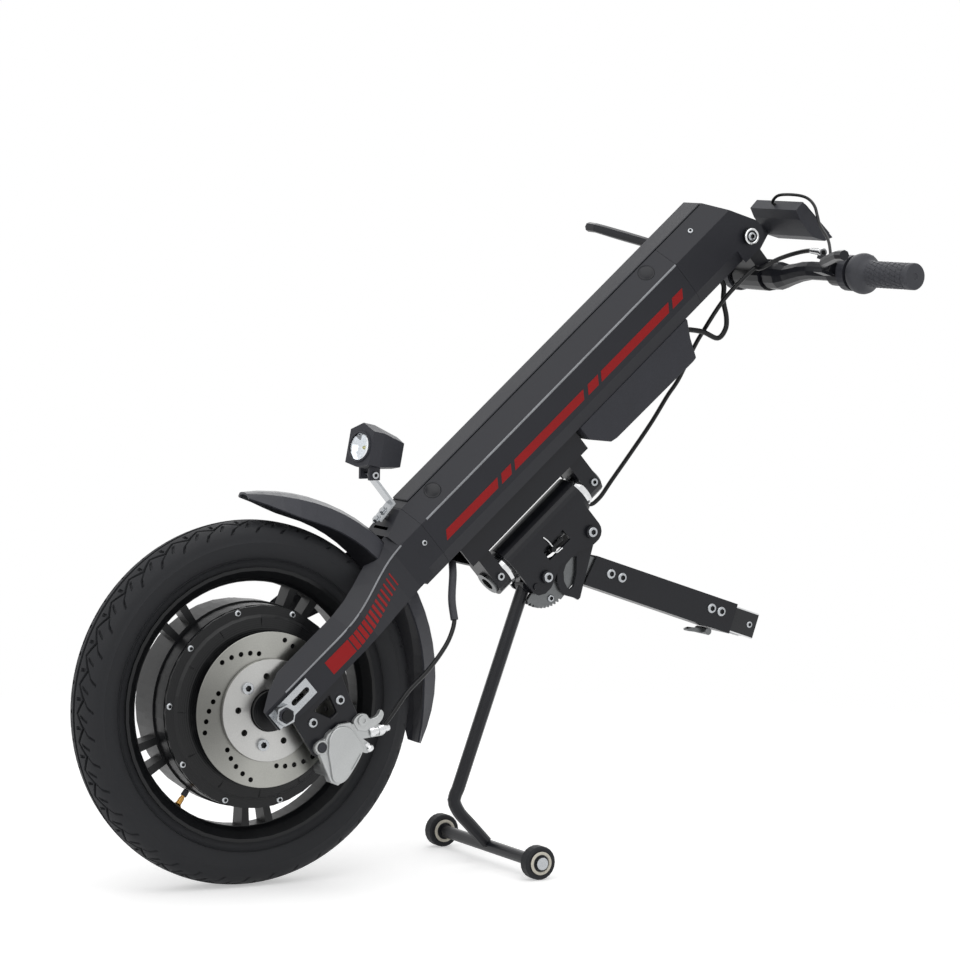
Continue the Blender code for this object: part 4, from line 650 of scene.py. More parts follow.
    def height(self, tree: Tree, where: Socket, centre: Vector) -> Socket:
        """Return the relief's height, from 0 to 1.

        Args:
            tree: the material's node tree.
            where: object coordinates.
            centre: a point of the axis that rings are laid about.

        Returns:
            The socket with the height.
        """
        if self.relief is Relief.GRAIN:
            grain = add_node(tree, "ShaderNodeTexNoise",
                             {"Scale": 1 / (self.size_mm * MM), "Detail": 3.0,
                              "Roughness": 0.6}, {"Vector": where})
            return grain.outputs["Fac"]
        middle = add_node(tree, "ShaderNodeMapping", {"Location": [-c for c in centre]},
                          {"Vector": where}).outputs["Vector"]
        if self.relief is Relief.BRUSHED:
            long_ways = add_node(tree, "ShaderNodeMapping",
                                 {"Scale": (LINE_STRETCH, 1.0, 1.0)},
                                 {"Vector": middle}).outputs["Vector"]
            lines = add_node(tree, "ShaderNodeTexNoise",
                             {"Scale": 1 / (self.size_mm * MM), "Detail": 2.0},
                             {"Vector": long_ways})
            return lines.outputs["Fac"]
        period = self.size_mm * MM * WAVE_RATE / (2 * math.pi)
        wave = {"wave_type": "RINGS", "rings_direction": "Y", "Scale": 1 / period,
                "Distortion": 0.0}
        if self.relief is Relief.RIBBED:
            wave = {"wave_type": "BANDS", "bands_direction": "Y", "Scale": 1 / period}
        return add_node(tree, "ShaderNodeTexWave", wave, {"Vector": middle}).outputs["Fac"]


@dataclass(frozen=True)
class ClearPlastic:
    """Polycarbonate lens, clear and polished, with a breath of haze in the gloss.

    Attributes:
        name: the material's name.
        index: polycarbonate's index.
        smear_mm: size of the smears.
        least_rough: roughness of the clean spots.
        most_rough: roughness of the smears.
    """

    name: str = "clear_polycarbonate"
    index: float = 1.58
    smear_mm: float = 1000 / 120
    least_rough: float = 0.01
    most_rough: float = 0.06

    def make(self) -> Coat:
        """Build the material.

        Returns:
            The material.
        """
        material = bpy.data.materials.new(self.name)
        material.use_nodes = True
        tree = material.node_tree
        shader = tree.nodes["Principled BSDF"]
        shader.inputs["Base Color"].default_value = linear("#f4f7fa")
        shader.inputs["Transmission Weight"].default_value = 1.0
        shader.inputs["IOR"].default_value = self.index
        where = add_node(tree, "ShaderNodeTexCoord").outputs["Object"]
        smear = add_node(tree, "ShaderNodeTexNoise", {"Scale": 1 / (self.smear_mm * MM)},
                         {"Vector": where})
        haze = add_node(tree, "ShaderNodeMapRange",
                        {"To Min": self.least_rough, "To Max": self.most_rough},
                        {"Value": smear.outputs["Fac"]})
        tree.links.new(haze.outputs["Result"], shader.inputs["Roughness"])
        return material


@dataclass(frozen=True)
class Palette:
    """The finishes of this object, each named for what the real one is.

    A relief too fine to show in the render, such as the marks of turning, grinding and
    brushing or the grain of a coat, is drawn coarser than the real one.
    """

    # textured powder coat on cast and extruded aluminium: dull, faintly sparkling grey-black
    column_coat: Finish = Finish("anthracite_powder_coat", "#222329", 0.44, 0.0,
                                 size_mm=0.9, depth_mm=0.035, uneven=0.10)
    # painted highlight on the outer edges: a thin light line, a little glossier than the coat
    edge_coat: Finish = Finish("painted_edge_highlight", "#94969a", 0.35, 0.0,
                               size_mm=1.5, depth_mm=0.02, uneven=0.25)
    # satin powder coat on steel: darker and smoother
    frame_coat: Finish = Finish("black_satin_powder_coat", "#191a1f", 0.36, 0.0,
                                size_mm=1.2, depth_mm=0.02, uneven=0.10)
    # sprayed paint on the cast rim: black with an even, soft sheen
    cast_paint: Finish = Finish("black_paint_on_cast_aluminium", "#121315", 0.40, 0.0,
                                size_mm=1.0, depth_mm=0.04)
    # the same paint over turning marks: rings that catch the light
    turned_paint: Finish = Finish("black_paint_on_turned_cover", "#0e0f11", 0.38, 0.0,
                                  relief=Relief.RINGS, size_mm=2.4, depth_mm=0.12)
    # ABS from a spark-eroded mould: a fine matt grain
    abs_plastic: Finish = Finish("black_moulded_abs", "#323339", 0.50, size_mm=0.6,
                                 depth_mm=0.03)
    # polypropylene mudguard: waxy, a little glossier
    mudguard: Finish = Finish("black_moulded_polypropylene", "#3b3c42", 0.36, size_mm=1.4,
                              depth_mm=0.02)
    # moulded tyre rubber: the dullest black, uneven from use
    tyre: Finish = Finish("black_tyre_rubber", "#232427", 0.66, size_mm=0.9, depth_mm=0.05,
                          uneven=0.18)
    # soft moulded rubber: matt, a little lighter than the plastics
    grip: Finish = Finish("black_grip_rubber", "#44454a", 0.58, size_mm=0.7, depth_mm=0.04)
    # extruded PVC jacket: smooth black with a narrow gloss
    cord: Finish = Finish("black_pvc_jacket", "#0f1012", 0.34, size_mm=1.5, depth_mm=0.02)
    # ground stainless steel: concentric marks, with the bright and dark fans of reflection painted
    # into its colour as shade
    disc: Finish = Finish("ground_stainless_steel", "#a5a5a0", 0.32, 1.0, Relief.RINGS,
                          size_mm=1.1, depth_mm=0.015, uneven=0.08, fan=0.58)
    # turned and anodised aluminium: lighter than the disc, with finer rings and faint fans of
    # reflection painted into its colour as shade
    carrier: Finish = Finish("turned_anodised_aluminium", "#bcbcba", 0.34, 1.0, Relief.RINGS,
                             size_mm=0.9, depth_mm=0.01, uneven=0.06, fan=0.16)
    # die-cast caliper in silver paint: soft orange-peel
    silver_paint: Finish = Finish("silver_paint_on_die_casting", "#b9bbbb", 0.33, 0.7,
                                  size_mm=1.3, depth_mm=0.03, uneven=0.06)
    # buffed aluminium: bright, close to a mirror
    polished: Finish = Finish("polished_aluminium", "#d9dadb", 0.16, 1.0, size_mm=2.0,
                              depth_mm=0.004, uneven=0.10)
    # bright zinc plate: light grey with small uneven glints
    zinc: Finish = Finish("bright_zinc_plate", "#b2b5b8", 0.27, 1.0, size_mm=0.7,
                          depth_mm=0.008, uneven=0.14)
    # machined steel: grey with straight tool marks
    steel: Finish = Finish("machined_steel", "#6f7172", 0.36, 1.0, Relief.BRUSHED,
                           size_mm=0.35, depth_mm=0.01)
    # drawn tube, anodised black: faint lines along it
    anodised: Finish = Finish("black_anodised_tube", "#2a2b2d", 0.34, 0.4, Relief.BRUSHED,
                              size_mm=0.4, depth_mm=0.01)
    # black oxide on steel: an oily dark grey
    black_oxide: Finish = Finish("black_oxide_steel", "#1c1d1f", 0.36, 0.6, size_mm=0.6,
                                 depth_mm=0.01)
    # turned brass of the valve: warm yellow
    brass: Finish = Finish("brass", "#b58a4a", 0.30, 1.0, size_mm=0.5, depth_mm=0.006)
    # enamelled copper wire in layers: glossy red-brown ridges
    copper: Finish = Finish("enamelled_copper_winding", "#8a4a26", 0.35, 1.0,
                            Relief.RIBBED, size_mm=1.2, depth_mm=0.2)
    # cast vinyl film: flat colour with a faint orange-peel
    red_film: Finish = Finish("red_vinyl_film", "#980a0e", 0.50, size_mm=1.6, depth_mm=0.01,
                              uneven=0.05)
    # moulded nylon: creamy white, half glossy
    hub_ring: Finish = Finish("cream_nylon", "#d9d4c6", 0.42, size_mm=0.8, depth_mm=0.02)
    # plastic metallised in a vacuum: a clear mirror
    mirror: Finish = Finish("metallised_reflector", "#e8e9ea", 0.07, 1.0, size_mm=3.0,
                            depth_mm=0.002, uneven=0.05)
    # smoked acrylic: black and glossy under its clear coat
    screen: Finish = Finish("smoked_display_window", "#0d0f12", 0.08, size_mm=5.0,
                            depth_mm=0.001, coat=1.0)
    # phosphor over the diode: flat yellow
    led: Finish = Finish("led_phosphor", "#e3d76a", 0.5, size_mm=0.4, depth_mm=0.02)

    def mix(self) -> Coats:
        """Build every material once, by its field's name.

        Returns:
            The materials.
        """
        made = {key: getattr(self, key).make() for key in self.__dataclass_fields__}
        made["clear"] = ClearPlastic().make()
        return made


def dress(nodes: Nodes, coat: Coat, *names: str) -> None:
    """Give CAD nodes a finish through their own slots.

    Args:
        nodes: the solids by name.
        coat: the material.
        *names: the solids that get it.
    """
    for name in names:
        slots = nodes[name].material_slots
        for index in range(len(slots)):
            slots[index].material = coat
        log.info("dressed %s in %s", name, coat.name)


# fasteners


class Head(Enum):
    """Kinds of screw head on this object."""

    BUTTON = "button"
    SOCKET = "socket"
    HEXAGON = "hexagon"


@dataclass(frozen=True)
class Screw:
    """A screw seen from outside: its head, with a washer under a hexagon one.

    Attributes:
        radius: the head's radius, over the corners where it is a hexagon.
        height: the head's height.
        head: the kind of head.
        foot: how deep a head or washer is sunk, so that no gap shows.
        dome: how far a button head is rounded, as a share of its height.
        edge: how far a socket head is rounded, as a share of its height, and a hexagon
            head, as a share of its radius.
        washer_share: the washer's radius, as a share of the head's.
        key_share: radius of the key's hole, as a share of the head's.
        key_floor: height of the hole's floor, as a share of the head's.
    """

    radius: float
    height: float
    head: Head = Head.BUTTON
    foot: float = 0.0004
    dome: float = 0.85
    edge: float = 0.12
    washer_share: float = 1.35
    key_share: float = 0.56
    key_floor: float = 0.30

    def model(self, coats: Coats) -> Piece:
        """Model one head on the origin, with Z outwards and its socket's faces painted dark as
        shade.

        Args:
            coats: the materials by the palette's names.

        Returns:
            The object, with its own two materials.
        """
        if self.head is Head.HEXAGON:
            body = new_cylinder("screw", self.radius, 0.0, self.height, 6)
            round_edges(body, self.radius * self.edge)
            washer = new_cylinder("washer", self.radius * self.washer_share, -self.foot, 0.0006,
                                  32)
            whole = join("screw", [body, round_edges(washer, 0.0002, 1)])
            whole.data.materials.append(coats["zinc"])
            return whole
        body = new_cylinder("screw", self.radius, -self.foot, self.height, 32)
        width = (self.dome if self.head is Head.BUTTON else self.edge) * self.height
        edit_faces(body, lambda at, way: way.z > 0.9)
        bpy.ops.mesh.bevel(offset=width, segments=4, affect="EDGES")
        bpy.ops.object.mode_set(mode="OBJECT")
        key = new_cylinder("key", self.radius * self.key_share, self.height * self.key_floor,
                           self.height * 2, 6)
        cut_away(body, key)
        body.data.materials.append(coats["zinc"])
        body.data.materials.append(coats["black_oxide"])
        # painted shade: the faces inside the key's hole take the dark oxide finish
        for face in body.data.polygons:
            inside = Vector(face.center[:2]).length < self.radius * 0.54
            face.material_index = 1 if inside and face.center.z < self.height * 0.97 else 0
        return body

    def drive(self, name: str, places: Sequence[Matrix], body: str, coats: Coats,
              slot: str = "lever_bolt") -> None:
        """Drive such a screw in at every place, as one piece."""
        finished(repeat(name, self.model(coats), places), body, None)


def ring_places(radius: float, y: float, count: int, phase: float,
                side: Vector = LEFT) -> list[Matrix]:
    """Return places on a circle about the wheel axis, facing sideways.

    Args:
        radius: the circle's radius.
        y: its distance to the right.
        count: number of places.
        phase: angle of the first place, in degrees.
        side: the way that the places face.

    Returns:
        The places.
    """
    places = []
    for index in range(count):
        angle = math.radians(phase) + 2 * math.pi * index / count
        point = WHEEL_CENTRE + Vector((radius * math.cos(angle), y, radius * math.sin(angle)))
        places.append(standing_on(point, side, angle))
    return places


# sub-assemblies


@dataclass
class Wheel:
    """Tyre with its tread, rim, hub motor, brake disc and valve.

    Attributes:
        radius: the tyre's, just inside the solid's own.
        half_width: half the tyre's width.
        pitches: repeats of the tread round the tyre.
        sipe_depth: depth of the groove, and of a sipe with the full share.
        sipe_width: half a sipe's width, as a share of a pitch.
        sipes: inner and outer end of each sipe, its place and its depth's share.
        cuts: places within a pitch where the tyre's section is laid out.
        zigzag: how far the groove swings to each side.
        lean: how far the shoulder's sipes lean, in pitches.
        bead: radius of the tyre's inner edge.
        valve_angle: angle of the valve about the axle, in degrees.
        valve_foot: radius where the valve leaves the rim.
        cover_screw_circle: radius of the circle of the covers' screws.
        cover_screw_count: screws of one cover.
        first_cover_screw: angle of the first of them, in degrees.
        cover_face: distance of the covers' rims from the middle plane.
        disc_y: place of the disc's inner face.
        disc_thickness: the disc's thickness.
        disc_radius: the disc's radius.
        hole_groups: slanting rows of holes in the disc.
        holes_in_group: holes of one row.
        first_hole: angle of the first hole, in degrees.
        group_turn: angle that one row covers, in degrees.
        hole_circle: radius where a row starts.
        hole_rise: how far the row slants outwards.
        carrier_face: place of the carrier's outer face.
        hole_radius: radius of the disc's holes.
        carrier_hole: radius of the carrier's holes.
        bolt_circle: radius of the circle of the carrier's bolts and holes.
        first_bolt: angle of the first bolt, in degrees.
    """

    radius: float = 0.21245
    half_width: float = 0.031
    pitches: int = 40
    sipe_depth: float = 0.0042
    sipe_width: float = 0.06
    sipes: tuple = ((0.0155, 0.0272, 0.5, 0.9), (0.0170, 0.0225, 0.0, 0.55),
                    (0.0050, 0.0100, 0.5, 0.6))
    cuts: tuple = (0.0, 0.055, 0.066, 0.15, 0.25, 0.35, 0.434, 0.445,
                   0.5, 0.555, 0.566, 0.65, 0.75, 0.85, 0.934, 0.945)
    zigzag: float = 0.0046
    lean: float = 0.45
    bead: float = 0.155
    valve_angle: float = 234.5
    valve_foot: float = 0.1432
    cover_screw_circle: float = 0.1130
    cover_screw_count: int = 10
    first_cover_screw: float = 104.5
    cover_face: float = 0.0413
    disc_y: float = -0.0628
    disc_thickness: float = 0.0022
    disc_radius: float = 0.090
    hole_groups: int = 6
    holes_in_group: int = 5
    first_hole: float = 100.5
    group_turn: float = 35.0
    hole_circle: float = 0.0665
    hole_rise: float = 0.0155
    carrier_face: float = -0.0703
    hole_radius: float = 0.0030
    carrier_hole: float = 0.0038
    bolt_circle: float = 0.040
    first_bolt: float = 137.0

    def crown(self, away: float) -> float:
        """Return the tread's radius at a distance from the middle plane.

        Args:
            away: distance from the middle plane.

        Returns:
            The radius.
        """
        line = ((0.0031, 0.0), (0.0048, 0.0002), (0.0087, 0.0008), (0.0124, 0.0017),
                (0.0161, 0.0029), (0.0198, 0.0046), (0.0232, 0.0070), (0.0260, 0.0100),
                (0.0281, 0.0135))
        drop = 0.0
        for (near, less), (far, more) in zip(line, line[1:]):
            share = max(0.0, min(1.0, (away - near) / (far - near)))
            drop += share * (more - less)
        return self.radius - drop

    def tread_point(self, away: float, share: float, sunk: float) -> tuple[float, float]:
        """Return radius and distance from the middle of one point of the tread.

        Args:
            away: distance from the middle plane before the zigzag moves it.
            share: place within the pitch, from 0 to 1.
            sunk: 1 on a groove's floor, 0 on a block.

        Returns:
            The radius and the distance from the middle plane.
        """
        bend = 1 - 4 * abs(share - 0.5)
        reach = max(0.0, min(1.0, (away - 0.0035) / 0.006, (0.0225 - away) / 0.0065))
        shifted = away + self.zigzag * bend * reach
        depth = sunk
        for near, far, middle, deep in self.sipes:
            apart = abs(share - middle)
            if near < away < far and min(apart, 1 - apart) < self.sipe_width:
                depth = deep
        return self.crown(shifted) - self.sipe_depth * depth, shifted

    def section(self, cut: float) -> list[tuple[float, float, float]]:
        """Return the tyre's closed section at a place within the pitch.

        Args:
            cut: place within the pitch, from 0 to 1.

        Returns:
            Radius, distance to the right and lean about the axle, in radians, of each point.
        """
        half = self.half_width
        wall = [(self.bead, 0.0224), (0.1600, 0.0226), (0.1648, 0.0232), (0.1690, 0.0268),
                (0.1698, 0.0284), (0.1706, 0.0272), (0.1745, 0.0295), (0.1800, half * 0.985),
                (0.1858, half), (0.1885, half * 0.998), (0.1890, half), (0.1896, half * 0.985),
                (0.1945, half * 0.955)]
        tread = ((0.0281, 0), (0.0274, 0), (0.0270, 0), (0.0252, 0), (0.0235, 0), (0.0226, 0),
                 (0.0223, 0), (0.0200, 0), (0.0180, 0), (0.0172, 0), (0.0168, 0), (0.0158, 0),
                 (0.0152, 0), (0.0149, 0), (0.0146, 1), (0.0115, 1), (0.0112, 0), (0.0102, 0),
                 (0.0098, 0), (0.0075, 0), (0.0052, 0), (0.0048, 0), (0.0026, 0), (0.0020, 1))
        inner = [(self.bead, 0.0180), (0.1660, 0.0195), (0.1860, half - 0.0045),
                 (self.radius - 0.0140, 0.0195)]
        ring = []
        for side in (-1, 1):
            share = (cut + (0.5 if side > 0 else 0.0)) % 1.0
            line = [(radius, side * y, 0.0) for radius, y in wall]
            for away, sunk in tread:
                radius, across = self.tread_point(away, share, sunk)
                lean = self.lean * max(0.0, min(1.0, (away - 0.0148) / 0.0125))
                line.append((radius, side * across, lean * 2 * math.pi / self.pitches))
            ring += line if side < 0 else line[::-1]
        ring += [(radius, y, 0.0) for radius, y in inner]
        ring += [(radius, -y, 0.0) for radius, y in reversed(inner)]
        return ring

    def tyre(self) -> Piece:
        """Lay out the tyre in code, because its zigzag and sipes lean against the rings.

        Returns:
            The tyre.
        """
        step = 2 * math.pi / self.pitches
        sections = [self.section(cut) for cut in self.cuts]
        points: list[Point] = []
        for pitch in range(self.pitches):
            for cut, section in zip(self.cuts, sections):
                for radius, y, lean in section:
                    angle = step * (pitch + cut) + lean
                    points.append((radius * math.cos(angle), y, radius * math.sin(angle)))
        count = len(sections[0])
        rows = self.pitches * len(self.cuts)
        faces = []
        for row in range(rows):
            after = ((row + 1) % rows) * count
            for index in range(count):
                beside = (index + 1) % count
                faces.append((row * count + index, row * count + beside, after + beside,
                              after + index))
        mesh = bpy.data.meshes.new("tyre_tread")
        mesh.from_pydata(points, [], faces)
        item = bpy.data.objects.new("tyre_tread", mesh)
        bpy.context.scene.collection.objects.link(item)
        place(item, Matrix.Translation(WHEEL_CENTRE))
        choose(item)
        bpy.ops.object.mode_set(mode="EDIT")
        bpy.ops.mesh.select_all(action="SELECT")
        bpy.ops.mesh.normals_make_consistent(inside=False)
        bpy.ops.object.mode_set(mode="OBJECT")
        return item

    def disc(self) -> Piece:
        """Turn the disc and drill its slanting rows of holes.

        Returns:
            The disc.
        """
        low = self.disc_y - self.disc_thickness
        edge = self.disc_radius
        profile = [(0.034, -self.disc_y), (0.034, -low), (edge - 0.0003, -low),
                   (edge, -low - 0.0003), (edge, -self.disc_y + 0.0003),
                   (edge - 0.0003, -self.disc_y)]
        disc = turned("disc_with_holes", profile, 96)
        drill = new_cylinder("drill", self.hole_radius, 0.055, 0.070, 16)
        places = []
        last = self.holes_in_group - 1
        for group in range(self.hole_groups):
            for number in range(self.holes_in_group):
                radius = self.hole_circle + self.hole_rise * number / last
                angle = math.radians(self.first_hole + 360 // self.hole_groups * group
                                     + self.group_turn * number / last)
                places.append(Matrix.Translation((radius * math.cos(angle),
                                                  radius * math.sin(angle), 0)))
        cut_away(disc, repeat("drill", drill, places))
        cut_away(disc, self.carrier_drills())
        return place(disc, self.facing_left())

    def carrier_drills(self) -> Piece:
        """Return drills for the carrier's ring of holes, which leave out its bolts.

        Returns:
            The drills, as one object.
        """
        drill = new_cylinder("drill", self.carrier_hole, 0.055, 0.080, 24)
        places = [Matrix.Rotation(math.radians(self.first_bolt + 40 * number), 4, "Z")
                  @ Matrix.Translation((self.bolt_circle, 0, 0))
                  for number in range(9) if number % 3]
        return repeat("drill", drill, places)

    def carrier(self) -> Piece:
        """Turn the disc's carrier with its round edge, and drill it.

        Returns:
            The carrier.
        """
        face = -self.carrier_face
        profile = [(0.024, face - 0.005), (0.024, face - 0.0006), (0.0246, face), (0.0575, face),
                   (0.0589, face - 0.0005), (0.0595, face - 0.0016), (0.0595, face - 0.005)]
        carrier = turned("drilled_carrier", profile, 96)
        cut_away(carrier, self.carrier_drills())
        return place(carrier, self.facing_left())

    def facing_left(self) -> Matrix:
        """Return the place whose Z points left along the wheel axis and X backwards."""
        axes = Matrix(((1, 0, 0, 0), (0, 0, -1, 0), (0, 1, 0, 0), (0, 0, 0, 1)))
        return Matrix.Translation(WHEEL_CENTRE) @ axes

    def valve(self) -> list[Piece]:
        """Model the valve stem and its cap, standing inwards from the rim's well.

        Returns:
            The stem and the cap.
        """
        stem = turned("valve_stem", [(0, 0), (0.0055, 0), (0.0052, 0.002), (0.0034, 0.004),
                                     (0.0030, 0.012), (0.0024, 0.0125), (0.0024, 0.016),
                                     (0, 0.016)], 20)
        cap = turned("valve_cap", [(0, 0.0145), (0.0034, 0.0145), (0.0038, 0.016),
                                   (0.0036, 0.0215), (0.0026, 0.0228), (0, 0.0228)], 20)
        angle = math.radians(self.valve_angle)
        outwards = Vector((math.cos(angle), 0, math.sin(angle)))
        at = standing_on(WHEEL_CENTRE + outwards * self.valve_foot, -outwards)
        return [place(stem, at), place(cap, at)]

    def cover_ribs(self) -> Piece:
        """Model the faint radial ribs of the left cover.

        Returns:
            The ribs, as one object.
        """
        rib = new_block("rib", (0.0925, -0.0004, 0.0468), (0.1035, 0.0004, 0.0483))
        for vertex in rib.data.vertices:
            if vertex.co.z > 0.048 and vertex.co.x > 0.1:
                vertex.co.z -= 0.0028
        places = [self.facing_left() @ Matrix.Rotation(2 * math.pi * k / 12, 4, "Z")
                  for k in range(12)]
        return repeat("cover_ribs", rib, places)

    def build(self, nodes: Nodes, coats: Coats) -> None:
        """Build and dress all that turns with the wheel.

        Args:
            nodes: the solids by name.
            coats: the materials by the palette's names.
        """
        dress(nodes, coats["cast_paint"], "rim")
        dress(nodes, coats["turned_paint"], "motor_cover_left", "motor_cover_right")
        carrier = finished(self.carrier(), "wheel", coats["carrier"], 30)
        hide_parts("disc_carrier")
        tyre = finished(self.tyre(), "wheel", coats["tyre"], 40)
        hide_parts("tyre")
        disc = finished(self.disc(), "wheel", coats["disc"], 30)
        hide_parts("brake_disc")
        places = []
        for side, way in SIDES:
            places += ring_places(self.cover_screw_circle, side * self.cover_face,
                                  self.cover_screw_count, self.first_cover_screw, way)
        Screw(0.0041, 0.0022).drive("cover_screws", places, "wheel", coats)
        bolts = ring_places(self.bolt_circle, self.carrier_face, 3, self.first_bolt)
        Screw(0.0070, 0.0042, Head.SOCKET).drive("carrier_bolts", bolts, "wheel", coats)
        stem, cap = self.valve()
        finished(stem, "wheel", coats["brass"])
        finished(cap, "wheel", coats["abs_plastic"])
        finished(self.cover_ribs(), "wheel", coats["turned_paint"])


@dataclass
class Column:
    """Battery column, fork, mudguard and rail, with their stripes and screws.

    Attributes:
        half_width: half the column's width.
        stripe_low: lower edge of the red stripes.
        stripe_high: their upper edge.
        stripe_lean: how far their ends lean up the column.
        stripes: start and end of each stripe along the column.
        film: thickness of the film.
        bar_low: lower edge of the bars on the fork.
        bar_high: their upper edge.
        bar_block: start and end of the lowest, solid bar.
        bar_end: where the thinning bars end.
        bar_count: number of thinning bars.
        blade_outer: distance of a blade's lower end from the middle plane.
        blade_top: where the blades leave the crown.
        blade_tip: lower end of the blades.
        blade_stations: facets along a blade.
        flare_top: where the fork starts to widen.
        flare_low: where it has its full width.
        pivot_s: place of the stem's pivot up the column.
        pivot_n: its place across the column.
    """

    half_width: float = 0.042
    stripe_low: float = -0.0232
    stripe_high: float = -0.0125
    stripe_lean: float = 0.0072
    stripes: tuple = ((0.304, 0.3945), (0.4015, 0.4185), (0.425, 0.549), (0.557, 0.5755),
                      (0.581, 0.7048), (0.7118, 0.7305))
    film: float = 0.0002
    bar_low: float = -0.0125
    bar_high: float = 0.0060
    bar_block: tuple = (0.0775, 0.116)
    bar_end: float = 0.226
    bar_count: int = 13
    blade_outer: float = 0.100
    blade_top: float = 0.2655
    blade_tip: float = -0.014
    blade_stations: int = 12
    flare_top: float = 0.2595
    flare_low: float = 0.120
    pivot_s: float = 0.850
    pivot_n: float = -0.028

    def facet_way(self, way: Vector) -> Vector:
        """Return the normal of the slanting edge between the front and one side."""
        return (way * 0.683 + ACROSS_COLUMN * 0.730).normalized()

    def stripe(self, start: float, end: float, side: int) -> Piece:
        """Cut one leaning stripe of film on the column's flat side.

        Args:
            start: where it starts along the column.
            end: where it ends.
            side: -1 for left, 1 for right.

        Returns:
            The film.
        """
        film = new_block("stripe", (start, 0, self.stripe_low), (end, self.film, self.stripe_high))
        for vertex in film.data.vertices:
            if vertex.co.z > (self.stripe_low + self.stripe_high) / 2:
                vertex.co.x += self.stripe_lean
        return place(film, self.on_side(side))

    def on_side(self, side: int) -> Matrix:
        """Return the place with X up the column, Z across it and Y outwards on one side.

        Args:
            side: -1 for left, 1 for right.

        Returns:
            The place.
        """
        base = column(0, side * self.half_width, 0)
        matrix = Matrix((ALONG_COLUMN, Vector((0, side, 0)), ACROSS_COLUMN)).transposed()
        return Matrix.Translation(base) @ matrix.to_4x4()

    def blade_face(self, s: float) -> float:
        """Return how far out the fork's flat side lies, on the casting's own facets.

        Args:
            s: distance up the column from the axle.

        Returns:
            The distance from the middle plane.
        """
        def spread(at: float) -> float:
            """Return the distance where the fork's outline passes, before its facets.

            Args:
                at: distance up the column from the axle.

            Returns:
                The distance from the middle plane.
            """
            part = min(1.0, max(0.0, (self.flare_top - at) / (self.flare_top - self.flare_low)))
            ease = part * part * (3 - 2 * part)
            return self.half_width + (self.blade_outer - self.half_width) * ease
        step = (self.blade_top - self.blade_tip) / self.blade_stations
        index = min(self.blade_stations - 1, int((self.blade_top - s) / step))
        upper = self.blade_top - index * step
        share = (upper - s) / step
        return spread(upper) * (1 - share) + spread(upper - step) * share

    def fork_bars(self) -> Piece:
        """Lay the row of thinning bars on both fork blades.

        Returns:
            The bars, as one object.
        """
        ranges = [self.bar_block]
        pitch = (self.bar_end - self.bar_block[1] - 0.002) / self.bar_count
        for index in range(self.bar_count):
            start = self.bar_block[1] + 0.002 + index * pitch
            wide = pitch * (0.80 - 0.55 * index / (self.bar_count - 1))
            ranges.append((start, start + wide))
        bars = []
        for side in (-1, 1):
            for start, end in ranges:
                pieces = max(1, round((end - start) / 0.006))
                bar = new_block("bar", (0, 0, self.bar_low), (1, self.film, self.bar_high))
                edit_faces(bar, lambda at, way: True)
                bpy.ops.mesh.subdivide(number_cuts=pieces)
                bpy.ops.object.mode_set(mode="OBJECT")
                for vertex in bar.data.vertices:
                    s = start + (end - start) * vertex.co.x
                    out = self.blade_face(s) + vertex.co.y + 0.0001
                    vertex.co = column(s, side * out, vertex.co.z)
                bars.append(bar)
        return join("fork_bars", bars)

    def fasteners(self) -> dict[str, tuple[Screw, list[Matrix]]]:
        """Return the screws of the column, fork and brackets, with their places.

        Returns:
            A kind of screw and its places, by the piece's name.
        """
        small = Screw(0.0036, 0.0018)
        head = [standing_on(column(0.7965, side * 0.0295, 0.0267), self.facet_way(way))
                for side, way in SIDES]
        sides = [standing_on(column(0.2800, side * self.half_width, -0.0044), way)
                 for side, way in SIDES]
        pinch = [standing_on(column(s, side * 0.0195, n), way) for side, way in SIDES
                 for s, n in ((0.3360, -0.1160), (0.5035, -0.1180))]
        strap = [standing_on(ground(x, 0, z), Vector((-0.749, 0, 0.662)))
                 for x, z in ((0.1796, 0.4294), (0.1711, 0.4198))]
        return {
            "head_screws": (small, head),
            "crown_screws": (small, sides),
            "pinch_bolts": (Screw(0.0046, 0.0035, Head.SOCKET), pinch),
            "strap_bolts": (Screw(0.0044, 0.0034, Head.HEXAGON), strap),
        }

    def ridges(self) -> Piece:
        """Lay thin rods along the edges of the column and the blades, whose light colour is a
        painted highlight.

        Returns:
            The light lines, as one object.
        """
        lines = []
        for side in (-1, 1):
            low = [column(s, side * (self.blade_face(s) - 0.0004), 0.0148)
                   for s in (0.02 + 0.0235 * k for k in range(11))]
            high = [column(s, side * (self.half_width - 0.0004), 0.0146)
                    for s in (0.30, 0.45, 0.60, 0.7485)]
            lines += [wire("ridge", low, 0.0011, 3), wire("ridge", high, 0.0013, 2)]
        for line in lines:
            choose(line)
            bpy.ops.object.convert(target="MESH")
        return join("column_ridge_highlights", lines)

    def pivot_places(self, out: float) -> list[Matrix]:
        """Return the places on both sides of the stem's pivot bolt."""
        return [standing_on(column(self.pivot_s, side * out, self.pivot_n), way)
                for side, way in SIDES]

    def pivot_rings(self) -> Piece:
        """Turn the bright rings round the stem's pivot bolt.

        Returns:
            The two rings, as one object.
        """
        ring = turned("ring", [(0.0072, 0), (0.0100, 0), (0.0100, 0.0016), (0.0092, 0.0024),
                               (0.0080, 0.0024), (0.0072, 0.0016)], 40)
        return repeat("pivot_rings", ring, self.pivot_places(0.0480))

    def plugs(self) -> Piece:
        """Turn the flat round plugs on the column's slanting edges.

        Returns:
            The four plugs, as one object.
        """
        plug = turned("plug", [(0, -0.0006), (0.0105, -0.0006), (0.0105, 0.0003),
                               (0.0100, 0.0006), (0.0092, 0.0001), (0.0086, 0.0001),
                               (0.0080, 0.0005), (0, 0.0006)], 48)
        places = [standing_on(column(s, side * 0.0272, 0.02885), self.facet_way(way))
                  for side, way in SIDES for s in (0.3333, 0.7180)]
        return repeat("edge_plugs", plug, places)

